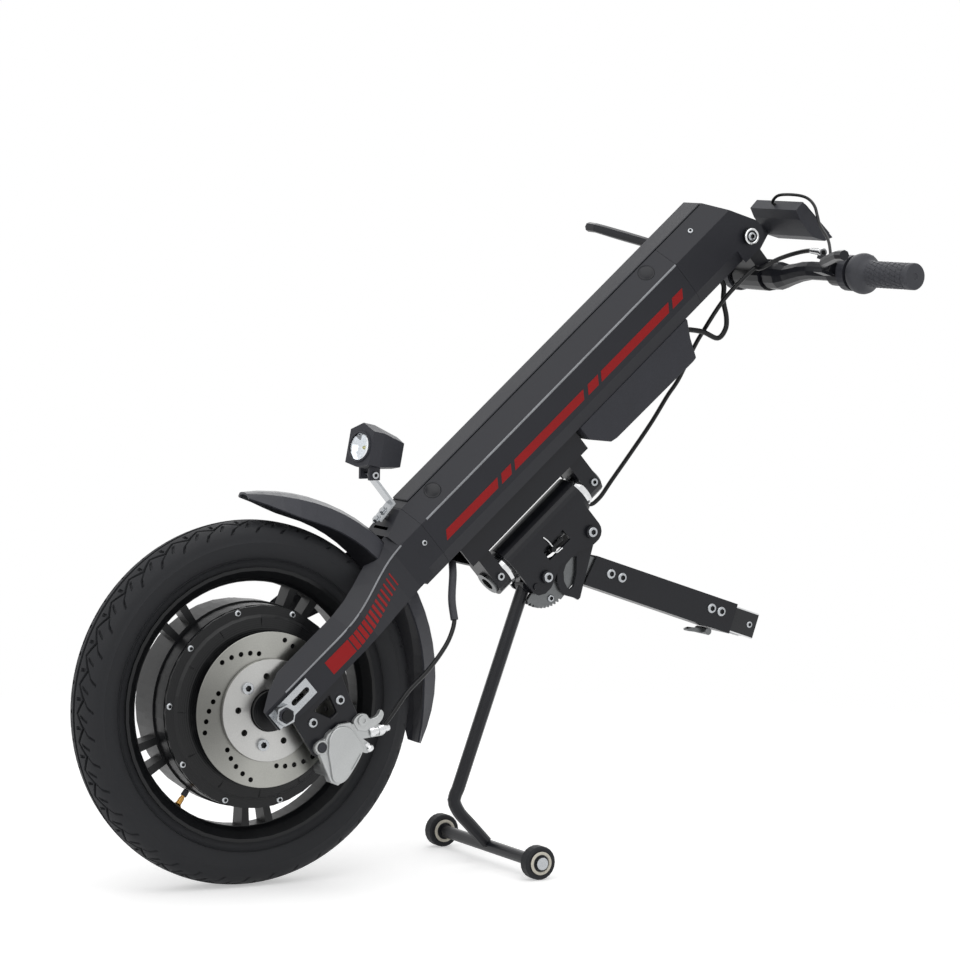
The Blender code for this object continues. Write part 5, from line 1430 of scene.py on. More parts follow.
    def build(self, nodes: Nodes, coats: Coats) -> None:
        """Build and dress all that is fixed to the column.

        Args:
            nodes: the solids by name.
            coats: the materials by the palette's names.
        """
        finished(self.plugs(), "front_frame", coats["frame_coat"])
        dress(nodes, coats["column_coat"], "column_shell", "front_strip", "column_head", "fork")
        dress(nodes, coats["abs_plastic"], "battery_pack", "controller_box")
        dress(nodes, coats["frame_coat"], "under_rail", "lower_bracket", "upper_bracket",
              "caliper_bracket")
        dress(nodes, coats["mudguard"], "fender")
        dress(nodes, coats["steel"], "steering_spindle")
        dress(nodes, coats["black_oxide"], "axle")
        dress(nodes, coats["copper"], "motor_stator")
        dress(nodes, coats["zinc"], "axle_nut_left", "axle_nut_right", "dropout_plate_left",
              "dropout_plate_right")
        dress(nodes, coats["black_oxide"], "stem_pivot_bolt")
        # the rods' light colour is a painted highlight along the edges
        finished(self.ridges(), "front_frame", coats["edge_coat"])
        finished(self.pivot_rings(), "front_frame", coats["polished"])
        Screw(0.0055, 0.0026).drive("pivot_screws", self.pivot_places(0.0482), "front_frame",
                                    coats, "stem_pivot_bolt")
        cap = new_cylinder("axle_cap", 0.0098, 0.0, 0.0022, 6)
        round_edges(cap, 0.0008, 2)
        caps = [standing_on(column(0, side * 0.1125, 0), way) for side, way in SIDES]
        finished(repeat("axle_caps", cap, caps), "front_frame", coats["abs_plastic"])
        stripes = [self.stripe(start, end, side) for side in (-1, 1)
                   for start, end in self.stripes]
        finished(join("column_stripes", stripes), "front_frame", coats["red_film"])
        finished(self.fork_bars(), "front_frame", coats["red_film"])
        for name, (screw, places) in self.fasteners().items():
            screw.drive(name, places, "front_frame", coats)


@dataclass
class Lamp:
    """Headlight on its strap, with reflector, diode, lens and bezel.

    Attributes:
        pivot: centre of the housing's pivot.
        front: distance of the lens in front of the pivot.
        lift: height of the lens over the pivot.
        lens_radius: the lens's radius.
        turn: how far the lamp looks to one side.
        tilt: how far it looks down.
    """

    pivot: Vector
    front: float = -0.0225
    lift: float = 0.0293
    lens_radius: float = 0.0165
    turn: float = math.radians(14.0)
    tilt: float = math.radians(12.0)

    def facing(self) -> Matrix:
        """Return the place on the lens's centre whose Z points where the lamp shines.

        Returns:
            The place.
        """
        aim = Matrix.Rotation(self.turn, 4, "Z") @ Matrix.Rotation(self.tilt, 4, "Y")
        middle = aim @ Vector((self.front, 0, self.lift))
        axes = Matrix(((0, 0, -1, 0), (0, 1, 0, 0), (1, 0, 0, 0), (0, 0, 0, 1)))
        return Matrix.Translation(self.pivot + middle) @ aim @ axes

    def build(self, nodes: Nodes, coats: Coats) -> None:
        """Build and dress the headlight.

        Args:
            nodes: the solids by name.
            coats: the materials by the palette's names.
        """
        dress(nodes, coats["abs_plastic"], "lamp_housing")
        dress(nodes, coats["zinc"], "lamp_strap")
        rim = self.lens_radius
        lens = turned("lens_dome", [(0, -0.0048), (rim, -0.0048), (rim, -0.0005),
                                    (rim * 0.93, 0.0008), (rim * 0.7, 0.0021),
                                    (rim * 0.35, 0.0029), (0, 0.0031)], 64)
        bowl = turned("reflector", [(0, -0.0105), (0.0035, -0.0105), (0.0065, -0.0098),
                                    (0.0110, -0.0082), (0.0150, -0.0056), (0.0168, -0.0050),
                                    (0.0168, -0.0104), (0.0120, -0.0109), (0, -0.0109)], 64)
        diode = turned("diode", [(0, -0.0104), (0.0030, -0.0104), (0.0028, -0.0090),
                                 (0.0016, -0.0078), (0, -0.0074)], 32)
        bezel = turned("lens_bezel", [(rim + 0.0001, -0.0030), (rim + 0.0001, 0.0006),
                                      (rim - 0.0006, 0.0012), (rim + 0.0004, 0.0020),
                                      (rim + 0.0020, 0.0016), (rim + 0.0024, 0.0),
                                      (rim + 0.0011, -0.0030)], 64)
        at = self.facing()
        for piece, coat, slot in ((lens, "clear", "lamp_lens"), (bowl, "mirror", "lamp_strap"),
                                  (diode, "led", "lamp_lens"),
                                  (bezel, "abs_plastic", "lamp_housing")):
            finished(place(piece, at), "headlight", coats[coat])
        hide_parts("lamp_lens")
        sides = [standing_on(self.pivot + way * 0.0136, way) for way in (LEFT, RIGHT)]
        Screw(0.0042, 0.0030, Head.SOCKET).drive("lamp_pivot_bolts", sides, "headlight", coats)


@dataclass
class Brake:
    """Mechanical disc caliper with its arm, bolts, adjuster and knob.

    Attributes:
        face: place of the caliper's outer face.
        inner_face: place of the face that the bolts and the cable's wing stand on.
    """

    face: float = -0.101
    inner_face: float = -0.0938

    def cover(self) -> Piece:
        """Model the caliper's smooth cover with the pad's slot in it.

        Returns:
            The cover.
        """
        line = [(0.0244, -0.0632), (0.0332, -0.0600), (0.0423, -0.0625), (0.0510, -0.0711),
                (0.0518, -0.0825), (0.0500, -0.0978), (0.0455, -0.1045), (0.0340, -0.1095),
                (0.0147, -0.1145), (0.0040, -0.1145), (-0.0025, -0.1098), (-0.0030, -0.1020),
                (0.0048, -0.0892), (0.0135, -0.0745)]
        cover = curved_plate("caliper_cover", line, 3, 0.0042)
        round_edges(cover, 0.0018, 4, 60)
        slot = plate("slot", capsule((0.0215, -0.1090), (0.0395, -0.1040), 0.0014), 0.01)
        place(slot, Matrix.Translation((0, 0, 0.0030)))
        cut_away(cover, slot)
        return place(cover, beside_column(self.face + 0.0004))

    def pivot(self) -> list[Piece]:
        """Turn the ring and the plug over the arm's pivot.

        Returns:
            The ring and the plug.
        """
        at = standing_on(column(0.0114, self.face + 0.0022, -0.0655), LEFT)
        ring = turned("pivot_ring", [(0.0056, 0), (0.0088, 0), (0.0088, 0.0020),
                                     (0.0082, 0.0030), (0.0064, 0.0030), (0.0056, 0.0022)], 40)
        plug = turned("pivot_plug", [(0, 0), (0.0055, 0), (0.0055, 0.0034), (0.0047, 0.0044),
                                     (0, 0.0047)], 40)
        return [place(ring, at), place(plug, at)]

    def anchor(self) -> Piece:
        """Turn the anchor that clamps the cable.

        Returns:
            The anchor.
        """
        anchor = turned("cable_anchor", [(0, 0), (0.0046, 0), (0.0046, 0.0078), (0.0060, 0.0080),
                                         (0.0060, 0.0094), (0.0048, 0.0100), (0.0028, 0.0100),
                                         (0.0028, 0.0088), (0, 0.0088)], 32)
        return place(anchor, standing_on(column(0.0690, -0.0937, -0.0785), LEFT))

    def wing(self) -> Piece:
        """Cut the curved wing beside the cable's end.

        Returns:
            The wing.
        """
        line = [(0.0572, -0.0831), (0.0600, -0.0722), (0.0709, -0.0712), (0.0775, -0.0768),
                (0.0778, -0.0845), (0.0868, -0.0885), (0.0945, -0.0862), (0.0938, -0.0930),
                (0.0835, -0.0968), (0.0654, -0.0925)]
        wing = curved_plate("cable_wing", line, 4, 0.0068)
        round_edges(wing, 0.0014, 3, 60)
        return place(wing, beside_column(self.inner_face))

    def adjuster(self) -> Piece:
        """Turn the barrel adjuster that the cable runs into.

        Returns:
            The barrel.
        """
        start = column(0.0665, -0.0985, -0.0961)
        way = column(0.0930, -0.0967, -0.1126) - start
        barrel = turned("barrel_adjuster",
                        [(0.0030, 0), (0.0052, 0), (0.0058, 0.0010), (0.0058, 0.0060),
                         (0.0046, 0.0068), (0.0046, 0.0110), (0.0060, 0.0118),
                         (0.0064, 0.0135), (0.0060, 0.0190), (0.0048, 0.0200),
                         (0.0040, 0.0260), (0.0034, 0.0270), (0.0030, 0.0270)], 32)
        return place(barrel, standing_on(start, way))

    def knob(self) -> Piece:
        """Turn the knob that sets the pads.

        Returns:
            The knob.
        """
        knob = turned("pad_knob", [(0, 0), (0.0030, 0), (0.0030, 0.0045), (0.0046, 0.0060),
                                   (0.0050, 0.0085), (0.0040, 0.0108), (0.0022, 0.0118),
                                   (0, 0.0120)], 32)
        return place(knob, standing_on(column(0.0560, -0.0965, -0.1035), -ACROSS_COLUMN))

    def build(self, nodes: Nodes, coats: Coats) -> None:
        """Build and dress the caliper.

        Args:
            nodes: the solids by name.
            coats: the materials by the palette's names.
        """
        silver = coats["silver_paint"]
        dress(nodes, silver, "caliper_body", "caliper_arm")
        finished(self.cover(), "front_frame", silver)
        bolts = [standing_on(column(s, self.inner_face, n), LEFT)
                 for s, n in ((0.0655, -0.0430), (0.0236, -0.0387))]
        Screw(0.0060, 0.0028).drive("bracket_bolts", bolts, "front_frame", coats)
        ring, plug = self.pivot()
        finished(ring, "front_frame", silver)
        finished(plug, "front_frame", coats["abs_plastic"])
        finished(self.anchor(), "front_frame", silver)
        finished(self.wing(), "front_frame", silver)
        finished(self.adjuster(), "front_frame", coats["polished"])
        finished(self.knob(), "front_frame", coats["polished"])


@dataclass
class Dock:
    """Docking head, its arm, latch and release lever.

    Attributes:
        tilt: centre of the arm's pivot.
        cheek: distance of a cheek's outer face from the middle plane.
        arm_half: half the arm's width.
    """

    tilt: Vector
    cheek: float = 0.0255
    arm_half: float = 0.020

    def tube_edges(self, coats: Coats) -> None:
        """Lay the inner tube's bare bright edges, and its end screw.

        Args:
            coats: the materials by the palette's names.
        """
        edges = []
        for side in (-1, 1):
            for lift in (0.0405, 0.0095):
                edge = new_block("edge", (0.279, -0.0001, -0.0008), (0.3155, 0.0003, 0.0008))
                axes = Matrix((ALONG_ARM, Vector((0, side, 0)), ACROSS_ARM))
                axes = axes.transposed().to_4x4()
                middle = self.tilt + ACROSS_ARM * lift + Vector((0, side * 0.015, 0))
                edges.append(place(edge, Matrix.Translation(middle) @ axes))
        finished(join("tube_edges", edges), "slider", coats["polished"])
        ends = [standing_on(self.tilt + ALONG_ARM * 0.306 + ACROSS_ARM * 0.025 + out * 0.015,
                            out) for out in (LEFT, RIGHT)]
        Screw(0.0042, 0.0016).drive("tube_screws", ends, "slider", coats)

    def latch_spring(self) -> Piece:
        """Bend the latch's wire spring, which lies on the near cheek.

        Returns:
            The spring.
        """
        route = [column(0.4070, -0.0262, -0.1180), column(0.4085, -0.0275, -0.1260),
                 column(0.4086, -0.0278, -0.1370), column(0.4082, -0.0272, -0.1440),
                 column(0.4180, -0.0262, -0.1462)]
        return wire("latch_spring", route, 0.0009)

    def build(self, nodes: Nodes, coats: Coats) -> None:
        """Build and dress the docking head and the arm.

        Args:
            nodes: the solids by name.
            coats: the materials by the palette's names.
        """
        dress(nodes, coats["frame_coat"], "dock_head", "arm_tube", "release_lever")
        dress(nodes, coats["polished"], "headset_cup_lower", "headset_cup_upper")
        dress(nodes, coats["frame_coat"], "arm_bolt", "lever_bolt")
        dress(nodes, coats["black_oxide"], "latch_pin")
        heads = [standing_on(column(s, -self.cheek - 0.0042, n), LEFT)
                 for s, n in ((0.380, -0.158), (0.460, -0.159))]
        Screw(0.0062, 0.0022).drive("dock_bolt_heads", heads, "dock", coats)
        dress(nodes, coats["steel"], "arm_lug", "clamp_lever")
        dress(nodes, coats["anodised"], "inner_tube")
        self.tube_edges(coats)
        places = [standing_on(ground(x, side * self.arm_half, z), way)
                  for side, way in SIDES
                  for x, z in ((0.4825, 0.3454), (0.4985, 0.3401), (0.6285, 0.2971),
                               (0.6425, 0.2925))]
        Screw(0.0062, 0.0026).drive("arm_screws", places, "arm", coats)
        lug = [standing_on(ground(0.4006, -0.0165, 0.3187), LEFT)]
        Screw(0.0046, 0.0024).drive("lug_screw", lug, "arm", coats)
        finished(self.latch_spring(), "dock", coats["polished"])


@dataclass
class Stand:
    """Parking stand with two rollers.

    Attributes:
        centre: middle of the rollers' axis.
        spacing: distance between the rollers.
        half_roller: half a roller's width.
    """

    centre: Vector
    spacing: float = 0.235
    half_roller: float = 0.008

    def build(self, nodes: Nodes, coats: Coats) -> None:
        """Build and dress the stand.

        Args:
            nodes: the solids by name.
            coats: the materials by the palette's names.
        """
        dress(nodes, coats["frame_coat"], "stand_leg", "stand_crossbar")
        dress(nodes, coats["zinc"], "stand_axle")
        dress(nodes, coats["tyre"], "stand_wheel_left", "stand_wheel_right")
        for word, side in (("left", -1), ("right", 1)):
            rings = []
            for way in (LEFT, RIGHT):
                ring = turned("ring", [(0.0102, -0.0002), (0.0138, -0.0002), (0.0138, 0.0006),
                                       (0.0130, 0.0012), (0.0108, 0.0012), (0.0102, 0.0005)], 48)
                middle = self.centre + Vector((0, side * self.spacing / 2, 0))
                rings.append(place(ring, standing_on(middle + way * self.half_roller, way)))
            finished(join("roller_ring_" + word, rings), "stand_roller_" + word,
                     coats["hub_ring"])


@dataclass
class Handlebar:
    """Stem, bar, grips, lever clamps and display.

    Attributes:
        centre: middle of the bar.
        half_length: half the bar's length.
        grip_length: length of a grip.
        sweep: angle of the bar's ends.
        sweep_start: where the ends start, from the middle.
        setback: how far in front of the middle they start.
        rise: height of the ends over the middle.
        pad_rows: rings of small pads on a grip.
        pads_round: pads in one ring.
    """

    centre: Vector
    half_length: float = 0.296
    grip_length: float = 0.088
    sweep: float = math.radians(8.5)
    sweep_start: float = 0.120
    setback: float = -0.001
    rise: float = 0.009
    pad_rows: int = 7
    pads_round: int = 18

    def on_bar(self, side: int) -> Matrix:
        """Return the place on one end of the bar whose Z points outwards along it.

        Args:
            side: -1 for left, 1 for right.

        Returns:
            The place.
        """
        start = self.half_length - self.grip_length * math.cos(self.sweep)
        back = self.setback + (start - self.sweep_start) * math.tan(self.sweep)
        far = self.setback + (self.half_length - self.sweep_start) * math.tan(self.sweep)
        origin = self.centre + Vector((back, side * start, self.rise))
        end = self.centre + Vector((far, side * self.half_length, self.rise))
        way = (end - origin).normalized()
        return standing_on(origin, way)

    def grip(self, side: int) -> Piece:
        """Turn one grip with its flange, end collar and rows of small pads.

        Args:
            side: -1 for left, 1 for right.

        Returns:
            The grip.
        """
        length = self.grip_length
        bore = 0.0114
        profile = [(bore, -0.012), (0.0168, -0.0122), (0.0205, -0.0105), (0.0232, -0.0070),
                   (0.0244, -0.0020), (0.0245, 0.0015), (0.0236, 0.0050), (0.0205, 0.0082),
                   (0.0176, 0.0105), (0.0162, 0.0140), (0.0154, 0.0160), (0.0154, 0.0790),
                   (0.0160, 0.0800), (0.0160, 0.0862), (0.0152, 0.0876), (0.0135, length),
                   (0.0040, length), (0.0034, length - 0.0008), (0.0, length - 0.0008),
                   (0.0, length - 0.004), (bore, length - 0.004)]
        barrel = turned("barrel", profile, 64)
        pad = new_block("pad", (0.0150, -0.0022, -0.0038), (0.0157, 0.0022, 0.0038))
        for vertex in pad.data.vertices:
            vertex.co.y += 0.35 * vertex.co.z
        round_edges(pad, 0.0003, 2)
        places = []
        for row in range(self.pad_rows):
            for step in range(self.pads_round):
                angle = 2 * math.pi * (step + 0.5 * (row % 2)) / self.pads_round
                places.append(Matrix.Rotation(angle, 4, "Z")
                              @ Matrix.Translation((0, 0, 0.0205 + 0.0088 * row)))
        pads = repeat("pads", pad, places)
        word = "left" if side < 0 else "right"
        return place(join("ribbed_grip_" + word, [barrel, pads]), self.on_bar(side))

    def display_face(self) -> Matrix:
        """Return the place on the display's slanting face, Z towards the rider.

        Returns:
            The place, with X down the face and Y to the right.
        """
        top = Vector((0.0235, 0, 0.0905))
        low = Vector((0.0685, 0, 0.0475))
        down = (low - top).normalized()
        across = Vector((0, 1, 0))
        normal = down.cross(across)
        if normal.z < 0:
            normal = -normal
        axes = Matrix((down, across, normal)).transposed().to_4x4()
        return Matrix.Translation(self.centre + top) @ axes

    def display_trim(self, coats: Coats) -> None:
        """Add the display's window, its frame and its buttons.

        Args:
            coats: the materials by the palette's names.
        """
        at = self.display_face()
        frame = new_block("display_frame", (0.002, -0.0575, -0.0003), (0.060, 0.0395, 0.0012))
        round_edges(frame, 0.0005, 2)
        inset_faces(frame, lambda middle, way: way.z > 0.9 and abs(middle.x - 0.031) < 0.01,
                    0.004, -0.0007)
        finished(place(frame, at), "handlebar", coats["abs_plastic"])
        window = new_block("display_window", (0.0065, -0.053, 0.0003), (0.0475, 0.035, 0.0009))
        round_edges(window, 0.0003, 2)
        finished(place(window, at), "handlebar", coats["screen"])
        button = new_cylinder("button", 0.0036, 0.0003, 0.0020, 32)
        round_edges(button, 0.0005, 3)
        places = [at @ Matrix.Translation((0.0522, y, 0)) for y in (-0.030, -0.009, 0.012)]
        finished(repeat("display_buttons", button, places), "handlebar", coats["grip"])

    def build(self, nodes: Nodes, coats: Coats) -> None:
        """Build and dress the handlebar.

        Args:
            nodes: the solids by name.
            coats: the materials by the palette's names.
        """
        dress(nodes, coats["frame_coat"], "stem", "handlebar_tube", "lever_clamp_left",
              "lever_clamp_right", "brake_lever_left", "brake_lever_right")
        dress(nodes, coats["abs_plastic"], "display", "thumb_throttle")
        for side, word in ((-1, "left"), (1, "right")):
            grip = finished(self.grip(side), "handlebar", coats["grip"])
            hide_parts("grip_" + word)
        self.display_trim(coats)
        start = self.centre + Vector((-0.0128, -0.1600, 0.0325))
        way = Vector((0.0013, 0.0305, 0.0010))
        sleeve = turned("cable_adjuster", [(0.0028, 0), (0.0050, 0), (0.0052, 0.0010),
                                           (0.0052, 0.0050), (0.0042, 0.0060), (0.0036, 0.0220),
                                           (0.0034, 0.0270), (0.0028, 0.0270)], 24)
        finished(place(sleeve, standing_on(start, way)), "handlebar", coats["polished"])
        places = [standing_on(self.centre + Vector((0.0135, y, -0.0135)), Vector((0.7, 0, -0.7)))
                  for y in (-0.018, 0.018)]
        Screw(0.0042, 0.0040, Head.SOCKET).drive("stem_screws", places, "handlebar", coats)


def wire(name: str, route: Sequence[Point], radius: float,
         points_apart: int = ROUTE_STEPS) -> Piece:
    """Return a round tube as a curve of one open spline along a smooth route.

    Args:
        name: the piece's name.
        route: points that the wire passes through, in the row frame.
        radius: the wire's radius.
        points_apart: points between two points of the route.

    Returns:
        The curve object.
    """
    line = smooth_route(route, points_apart)
    curve = bpy.data.curves.new(name, "CURVE")
    curve.dimensions = "3D"
    curve.bevel_depth = radius
    curve.bevel_resolution = 6
    curve.use_fill_caps = True
    spline = curve.splines.new("POLY")
    spline.points.add(len(line) - 1)
    for index, point in enumerate(line):
        spline.points[index].co = (*point, 1.0)
    item = bpy.data.objects.new(name, curve)
    bpy.context.scene.collection.objects.link(item)
    return item


def smooth_route(points: Sequence[Point], count: int) -> list[Vector]:
    """Read a Catmull-Rom curve through the points, with a count of steps between two.

    Args:
        points: points that the curve passes through.
        count: steps between two of them.

    Returns:
        The curve's points.
    """
    points = [Vector(point) for point in points]
    padded = [2 * points[0] - points[1], *points, 2 * points[-1] - points[-2]]
    result = []
    for index in range(1, len(padded) - 2):
        p0, p1, p2, p3 = padded[index - 1:index + 3]
        for number in range(count):
            t = number / count
            result.append(0.5 * ((2 * p1) + (p2 - p0) * t
                                 + (2 * p0 - 5 * p1 + 4 * p2 - p3) * t * t
                                 + (3 * p1 - p0 - 3 * p2 + p3) * t ** 3))
    result.append(points[-1])
    return result


@dataclass
class Cords:
    """The four cords, along the same routes as the solids.

    Attributes:
        bar: middle of the handlebar.
        cable_radius: radius of the brake cable's casing.
        sleeve_radius: radius of the sleeve on it.
        lead_radius: radius of the power lead.
        display_radius: radius of the display's lead.
        sleeve_points: the sleeve's first point of the lower run, and the one after its last.
    """

    bar: Vector
    cable_radius: float = 0.0027
    sleeve_radius: float = 0.0046
    lead_radius: float = 0.0032
    display_radius: float = 0.0019
    sleeve_points: tuple = (20, 24)

    def upper_run(self) -> list[Vector]:
        """Return the brake cable's run on the handlebar.

        Returns:
            The route's points.
        """
        return [self.bar + Vector(p) for p in (
            (-0.0128, -0.1605, 0.0325), (-0.0115, -0.130, 0.0335), (-0.0135, -0.100, 0.029),
            (-0.0235, -0.078, 0.021), (-0.0328, -0.066, 0.0122), (-0.0355, -0.0572, 0.0092),
            (-0.0355, -0.0525, 0.0092))]

    def lower_run(self) -> list[Vector]:
        """Return the brake cable's run from the handlebar to the caliper.

        Returns:
            The route's points.
        """
        start = self.upper_run()[-1] + Vector((0, 0.0003, 0))
        free = [(0.6465, -0.038, 0.6990), (0.6310, -0.022, 0.6728), (0.6190, 0.000, 0.6362),
                (0.6140, 0.012, 0.6160), (0.6060, 0.032, 0.5768), (0.5935, 0.038, 0.5550),
                (0.5735, 0.041, 0.5230), (0.5457, 0.041, 0.4874), (0.5178, 0.040, 0.4536),
                (0.4980, 0.038, 0.4310)]
        rail = [(0.502, 0.0375, -0.160), (0.498, 0.0350, -0.128), (0.494, 0.034, -0.090),
                (0.476, 0.033, -0.069), (0.400, 0.033, -0.064), (0.325, 0.034, -0.062),
                (0.3095, 0.030, -0.060), (0.3035, 0.004, -0.058)]
        low = [(0.2650, -0.016, 0.3665), (0.2583, -0.030, 0.3540), (0.2520, -0.040, 0.3260),
               (0.2515, -0.048, 0.3030), (0.2410, -0.056, 0.2830), (0.2240, -0.064, 0.2650),
               (0.1990, -0.077, 0.2470), (0.1675, -0.090, 0.2270)]
        end = [(0.1020, -0.0955, -0.1030), (0.0862, -0.0967, -0.1045)]
        run = [start, start + Vector((0, 0.006, 0))]
        run += [ground(*p) for p in free] + [column(*p) for p in rail]
        run += [ground(*p) for p in low] + [column(*p) for p in end]
        return run

    def lead_run(self) -> list[Vector]:
        """Return the power lead's loop from the controller box to the head.

        Returns:
            The route's points.
        """
        first = [(0.7143, -0.012, -0.0643), (0.7230, -0.012, -0.0690), (0.739, -0.012, -0.087)]
        free = [(0.6330, -0.012, 0.6290), (0.6440, -0.012, 0.6400), (0.6450, -0.012, 0.6550),
                (0.6400, -0.012, 0.6750)]
        last = [(0.798, -0.012, -0.064), (0.799, -0.012, -0.0505)]
        return ([column(*p) for p in first] + [ground(*p) for p in free]
                + [column(*p) for p in last])

    def display_run(self) -> list[Vector]:
        """Return the display's lead over its back and down to the throttle.

        Returns:
            The route's points.
        """
        return [self.bar + Vector(p) for p in (
            (0.0184, -0.006, 0.0859), (0.0148, -0.006, 0.0894), (0.0160, -0.018, 0.0975),
            (0.0280, -0.036, 0.0985), (0.0350, -0.052, 0.0950), (0.0360, -0.0665, 0.0860),
            (0.0330, -0.078, 0.0740), (0.0290, -0.090, 0.0630), (0.0218, -0.118, 0.0470),
            (0.0120, -0.138, 0.0340), (0.0052, -0.149, 0.0255), (0.0042, -0.1545, 0.0230),
            (0.0050, -0.1601, 0.0229))]

    def lay(self, name: str, node: str, body: str, route: list[Vector], radius: float,
            coats: Coats) -> None:
        """Make one cord in place of its solid, and hide the solid.

        Args:
            name: the cord's name.
            node: the solid that it replaces.
            body: the body that carries it.
            route: points that it passes.
            radius: its radius.
            coats: the materials by the palette's names.
        """
        cord = wire(name, route, radius)
        finished(cord, body, coats["cord"])
        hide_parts(node)

    def build(self, coats: Coats) -> None:
        """Lay all cords.

        Args:
            coats: the materials by the palette's names.
        """
        run = self.lower_run()
        first, after = self.sleeve_points
        sleeve = wire("cable_sleeve", run[first:after], self.sleeve_radius)
        finished(sleeve, "front_frame", coats["grip"])
        self.lay("brake_cord", "brake_cable", "front_frame", run, self.cable_radius, coats)
        self.lay("brake_cord_upper", "brake_cable_upper", "handlebar", self.upper_run(),
                 self.cable_radius, coats)
        self.lay("power_cord", "power_lead", "front_frame", self.lead_run(), self.lead_radius,
                 coats)
        self.lay("display_cord", "display_cable", "handlebar", self.display_run(),
                 self.display_radius, coats)


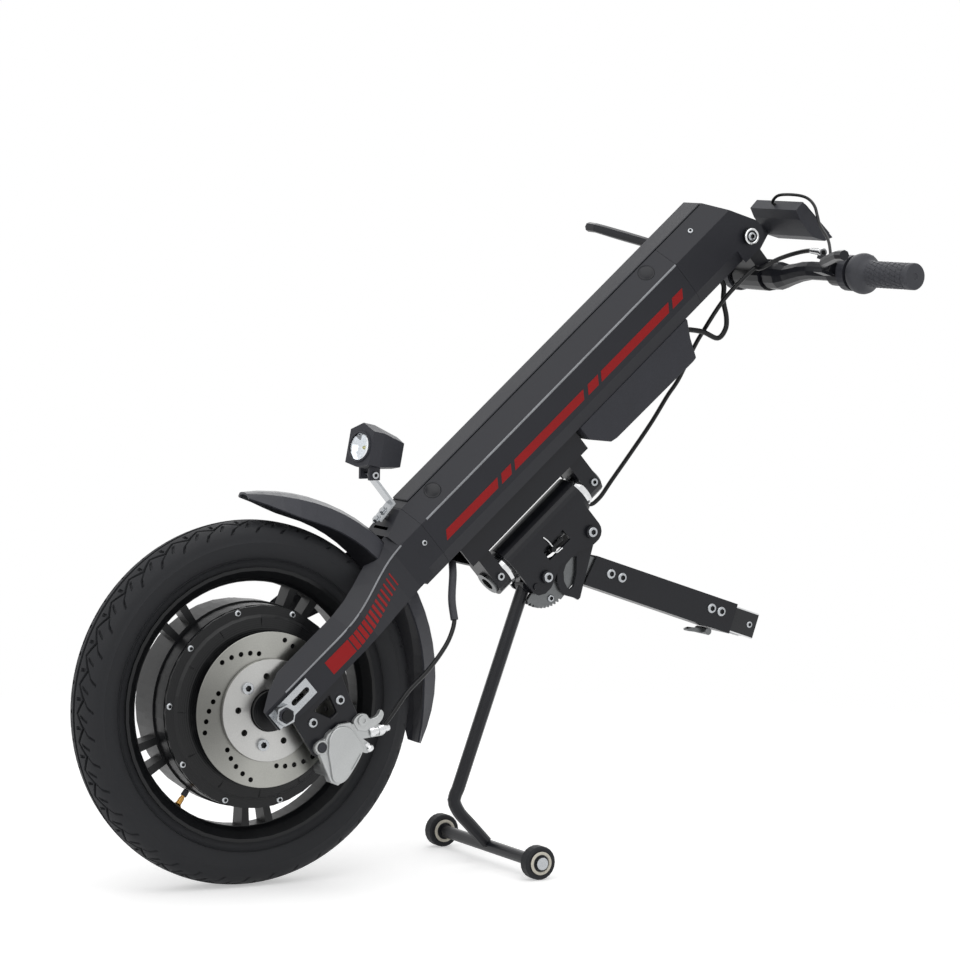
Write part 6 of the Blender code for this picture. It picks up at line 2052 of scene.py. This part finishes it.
@dataclass
class Studio:
    """Camera at the photograph's place, pale floor and soft lights.

    Attributes:
        camera_at: the camera's place.
        yaw: how far it looks to the right.
        pitch: how far it looks down.
        roll: how far it leans.
        lens_mm: focal length.
        floor_glow: light that the seen floor adds near the object.
        floor_drop: how far the floor lies under the tyre.
        fade_start: distance from the middle where the floor starts to turn white.
        fade_end: distance where it is all white.
        sky: strength of the even light from all round.
        soft_boxes: name, place, aim, size and watts of each lamp.
    """

    camera_at: Vector
    yaw: float = math.radians(29.44)
    pitch: float = math.radians(5.08)
    roll: float = math.radians(1.08)
    lens_mm: float = 147.5
    floor_glow: float = 0.42
    floor_drop: float = 0.0003
    fade_start: float = 0.7
    fade_end: float = 1.5
    sky: float = 0.50
    soft_boxes: tuple = (("soft_box_over", (-0.4, -0.6, 3.0), (0, 0, 0.3), 3.0, 34),
                         ("soft_box_front", (-3.0, -1.6, 1.9), (0, 0, 0.4), 2.2, 16),
                         ("soft_box_back", (1.8, 2.4, 2.2), (0, 0, 0.5), 2.0, 22))

    def camera(self) -> None:
        """Place the camera."""
        way = Vector((math.sin(self.yaw) * math.cos(self.pitch),
                      math.cos(self.yaw) * math.cos(self.pitch), -math.sin(self.pitch)))
        side = way.cross(Vector((0, 0, 1))).normalized()
        up = side.cross(way)
        right = math.cos(self.roll) * side + math.sin(self.roll) * up
        top = -math.sin(self.roll) * side + math.cos(self.roll) * up
        data = bpy.data.cameras.new("camera")
        data.lens = self.lens_mm
        data.sensor_width = 36.0
        item = bpy.data.objects.new("camera", data)
        axes = Matrix((right, top, -way)).transposed().to_4x4()
        item.matrix_world = Matrix.Translation(self.camera_at) @ axes
        bpy.context.scene.collection.objects.link(item)
        bpy.context.scene.camera = item

    def lamp(self, name: str, at: Point, aim: Point, size: float, power: float) -> None:
        """Hang one soft box.

        Args:
            name: the lamp's name.
            at: where it hangs.
            aim: the point that it faces.
            size: side of its square.
            power: its power in watts.
        """
        data = bpy.data.lights.new(name, "AREA")
        data.size = size
        data.energy = power
        item = bpy.data.objects.new(name, data)
        item.location = at
        item.rotation_euler = (Vector(aim) - Vector(at)).to_track_quat("-Z", "Y").to_euler()
        bpy.context.scene.collection.objects.link(item)

    def white_seen(self, tree: Tree) -> Socket:
        """Return 1 where a camera, mirror or glass ray looks.

        Args:
            tree: the tree that gets the nodes.

        Returns:
            The socket.
        """
        path = add_node(tree, "ShaderNodeLightPath")
        first = add_node(tree, "ShaderNodeMath", {"operation": "MAXIMUM"},
                         {0: path.outputs["Is Camera Ray"], 1: path.outputs["Is Glossy Ray"]})
        return add_node(tree, "ShaderNodeMath", {"operation": "MAXIMUM"},
                        {0: first.outputs[0],
                         1: path.outputs["Is Transmission Ray"]}).outputs[0]

    def world(self) -> None:
        """Light softly from all round, and show white."""
        world = bpy.data.worlds.new("studio")
        bpy.context.scene.world = world
        world.use_nodes = True
        tree = world.node_tree
        tree.nodes.clear()
        light = add_node(tree, "ShaderNodeBackground", {"Color": linear("#ffffff"),
                                                        "Strength": self.sky})
        seen = add_node(tree, "ShaderNodeBackground", {"Color": linear("#ffffff"),
                                                       "Strength": 1.0})
        both = add_node(tree, "ShaderNodeMixShader", None,
                        {0: self.white_seen(tree), 1: light.outputs[0], 2: seen.outputs[0]})
        add_node(tree, "ShaderNodeOutputWorld", None, {"Surface": both.outputs[0]})

    def floor(self) -> None:
        """Lay a pale floor that keeps the shadow near the object and is white far away."""
        deselect()
        bpy.ops.mesh.primitive_plane_add(size=24, location=(0, 0, -self.floor_drop))
        item = bpy.context.object
        item.name = "studio_floor"
        material = bpy.data.materials.new("pale_floor")
        material.use_nodes = True
        tree = material.node_tree
        tree.nodes.clear()
        seen = self.white_seen(tree)
        paint = add_node(tree, "ShaderNodeBsdfDiffuse", {"Color": linear("#f1f1f1")})
        glow = add_node(tree, "ShaderNodeEmission", {"Strength": self.floor_glow})
        none = add_node(tree, "ShaderNodeEmission", {"Strength": 0.0})
        white = add_node(tree, "ShaderNodeEmission", {"Strength": 1.0})
        lift = add_node(tree, "ShaderNodeMixShader", None,
                        {0: seen, 1: none.outputs[0], 2: glow.outputs[0]})
        near = add_node(tree, "ShaderNodeAddShader", None,
                        {0: paint.outputs[0], 1: lift.outputs[0]})
        far = add_node(tree, "ShaderNodeMixShader", None,
                       {0: seen, 1: paint.outputs[0], 2: white.outputs[0]})
        where = add_node(tree, "ShaderNodeTexCoord").outputs["Object"]
        away = add_node(tree, "ShaderNodeVectorMath", {"operation": "LENGTH"}, {0: where})
        fade = add_node(tree, "ShaderNodeMapRange",
                        {"From Min": self.fade_start, "From Max": self.fade_end},
                        {"Value": away.outputs["Value"]})
        total = add_node(tree, "ShaderNodeMixShader", None,
                         {0: fade.outputs["Result"], 1: near.outputs[0], 2: far.outputs[0]})
        add_node(tree, "ShaderNodeOutputMaterial", None, {"Surface": total.outputs[0]})
        item.data.materials.append(material)

    def build(self) -> None:
        """Set up camera, lights, world and floor."""
        bpy.context.scene.view_settings.view_transform = "Standard"
        self.camera()
        self.world()
        self.floor()
        for soft_box in self.soft_boxes:
            self.lamp(*soft_box)


def main() -> None:
    """Load the frame, then build and dress each sub-assembly."""
    logging.basicConfig(level=logging.INFO, format="%(name)s: %(message)s")
    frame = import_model()
    nodes = frame["nodes"]
    Studio(CAMERA_PLACE).build()
    coats = Palette().mix()
    Cords(BAR_CENTRE).build(coats)
    Wheel().build(nodes, coats)
    Column().build(nodes, coats)
    Lamp(LAMP_PIVOT).build(nodes, coats)
    Brake().build(nodes, coats)
    Dock(ARM_PIVOT).build(nodes, coats)
    Stand(ROLLER_AXIS).build(nodes, coats)
    Handlebar(BAR_CENTRE).build(nodes, coats)
    deselect()


if __name__ == "__main__":
    main()
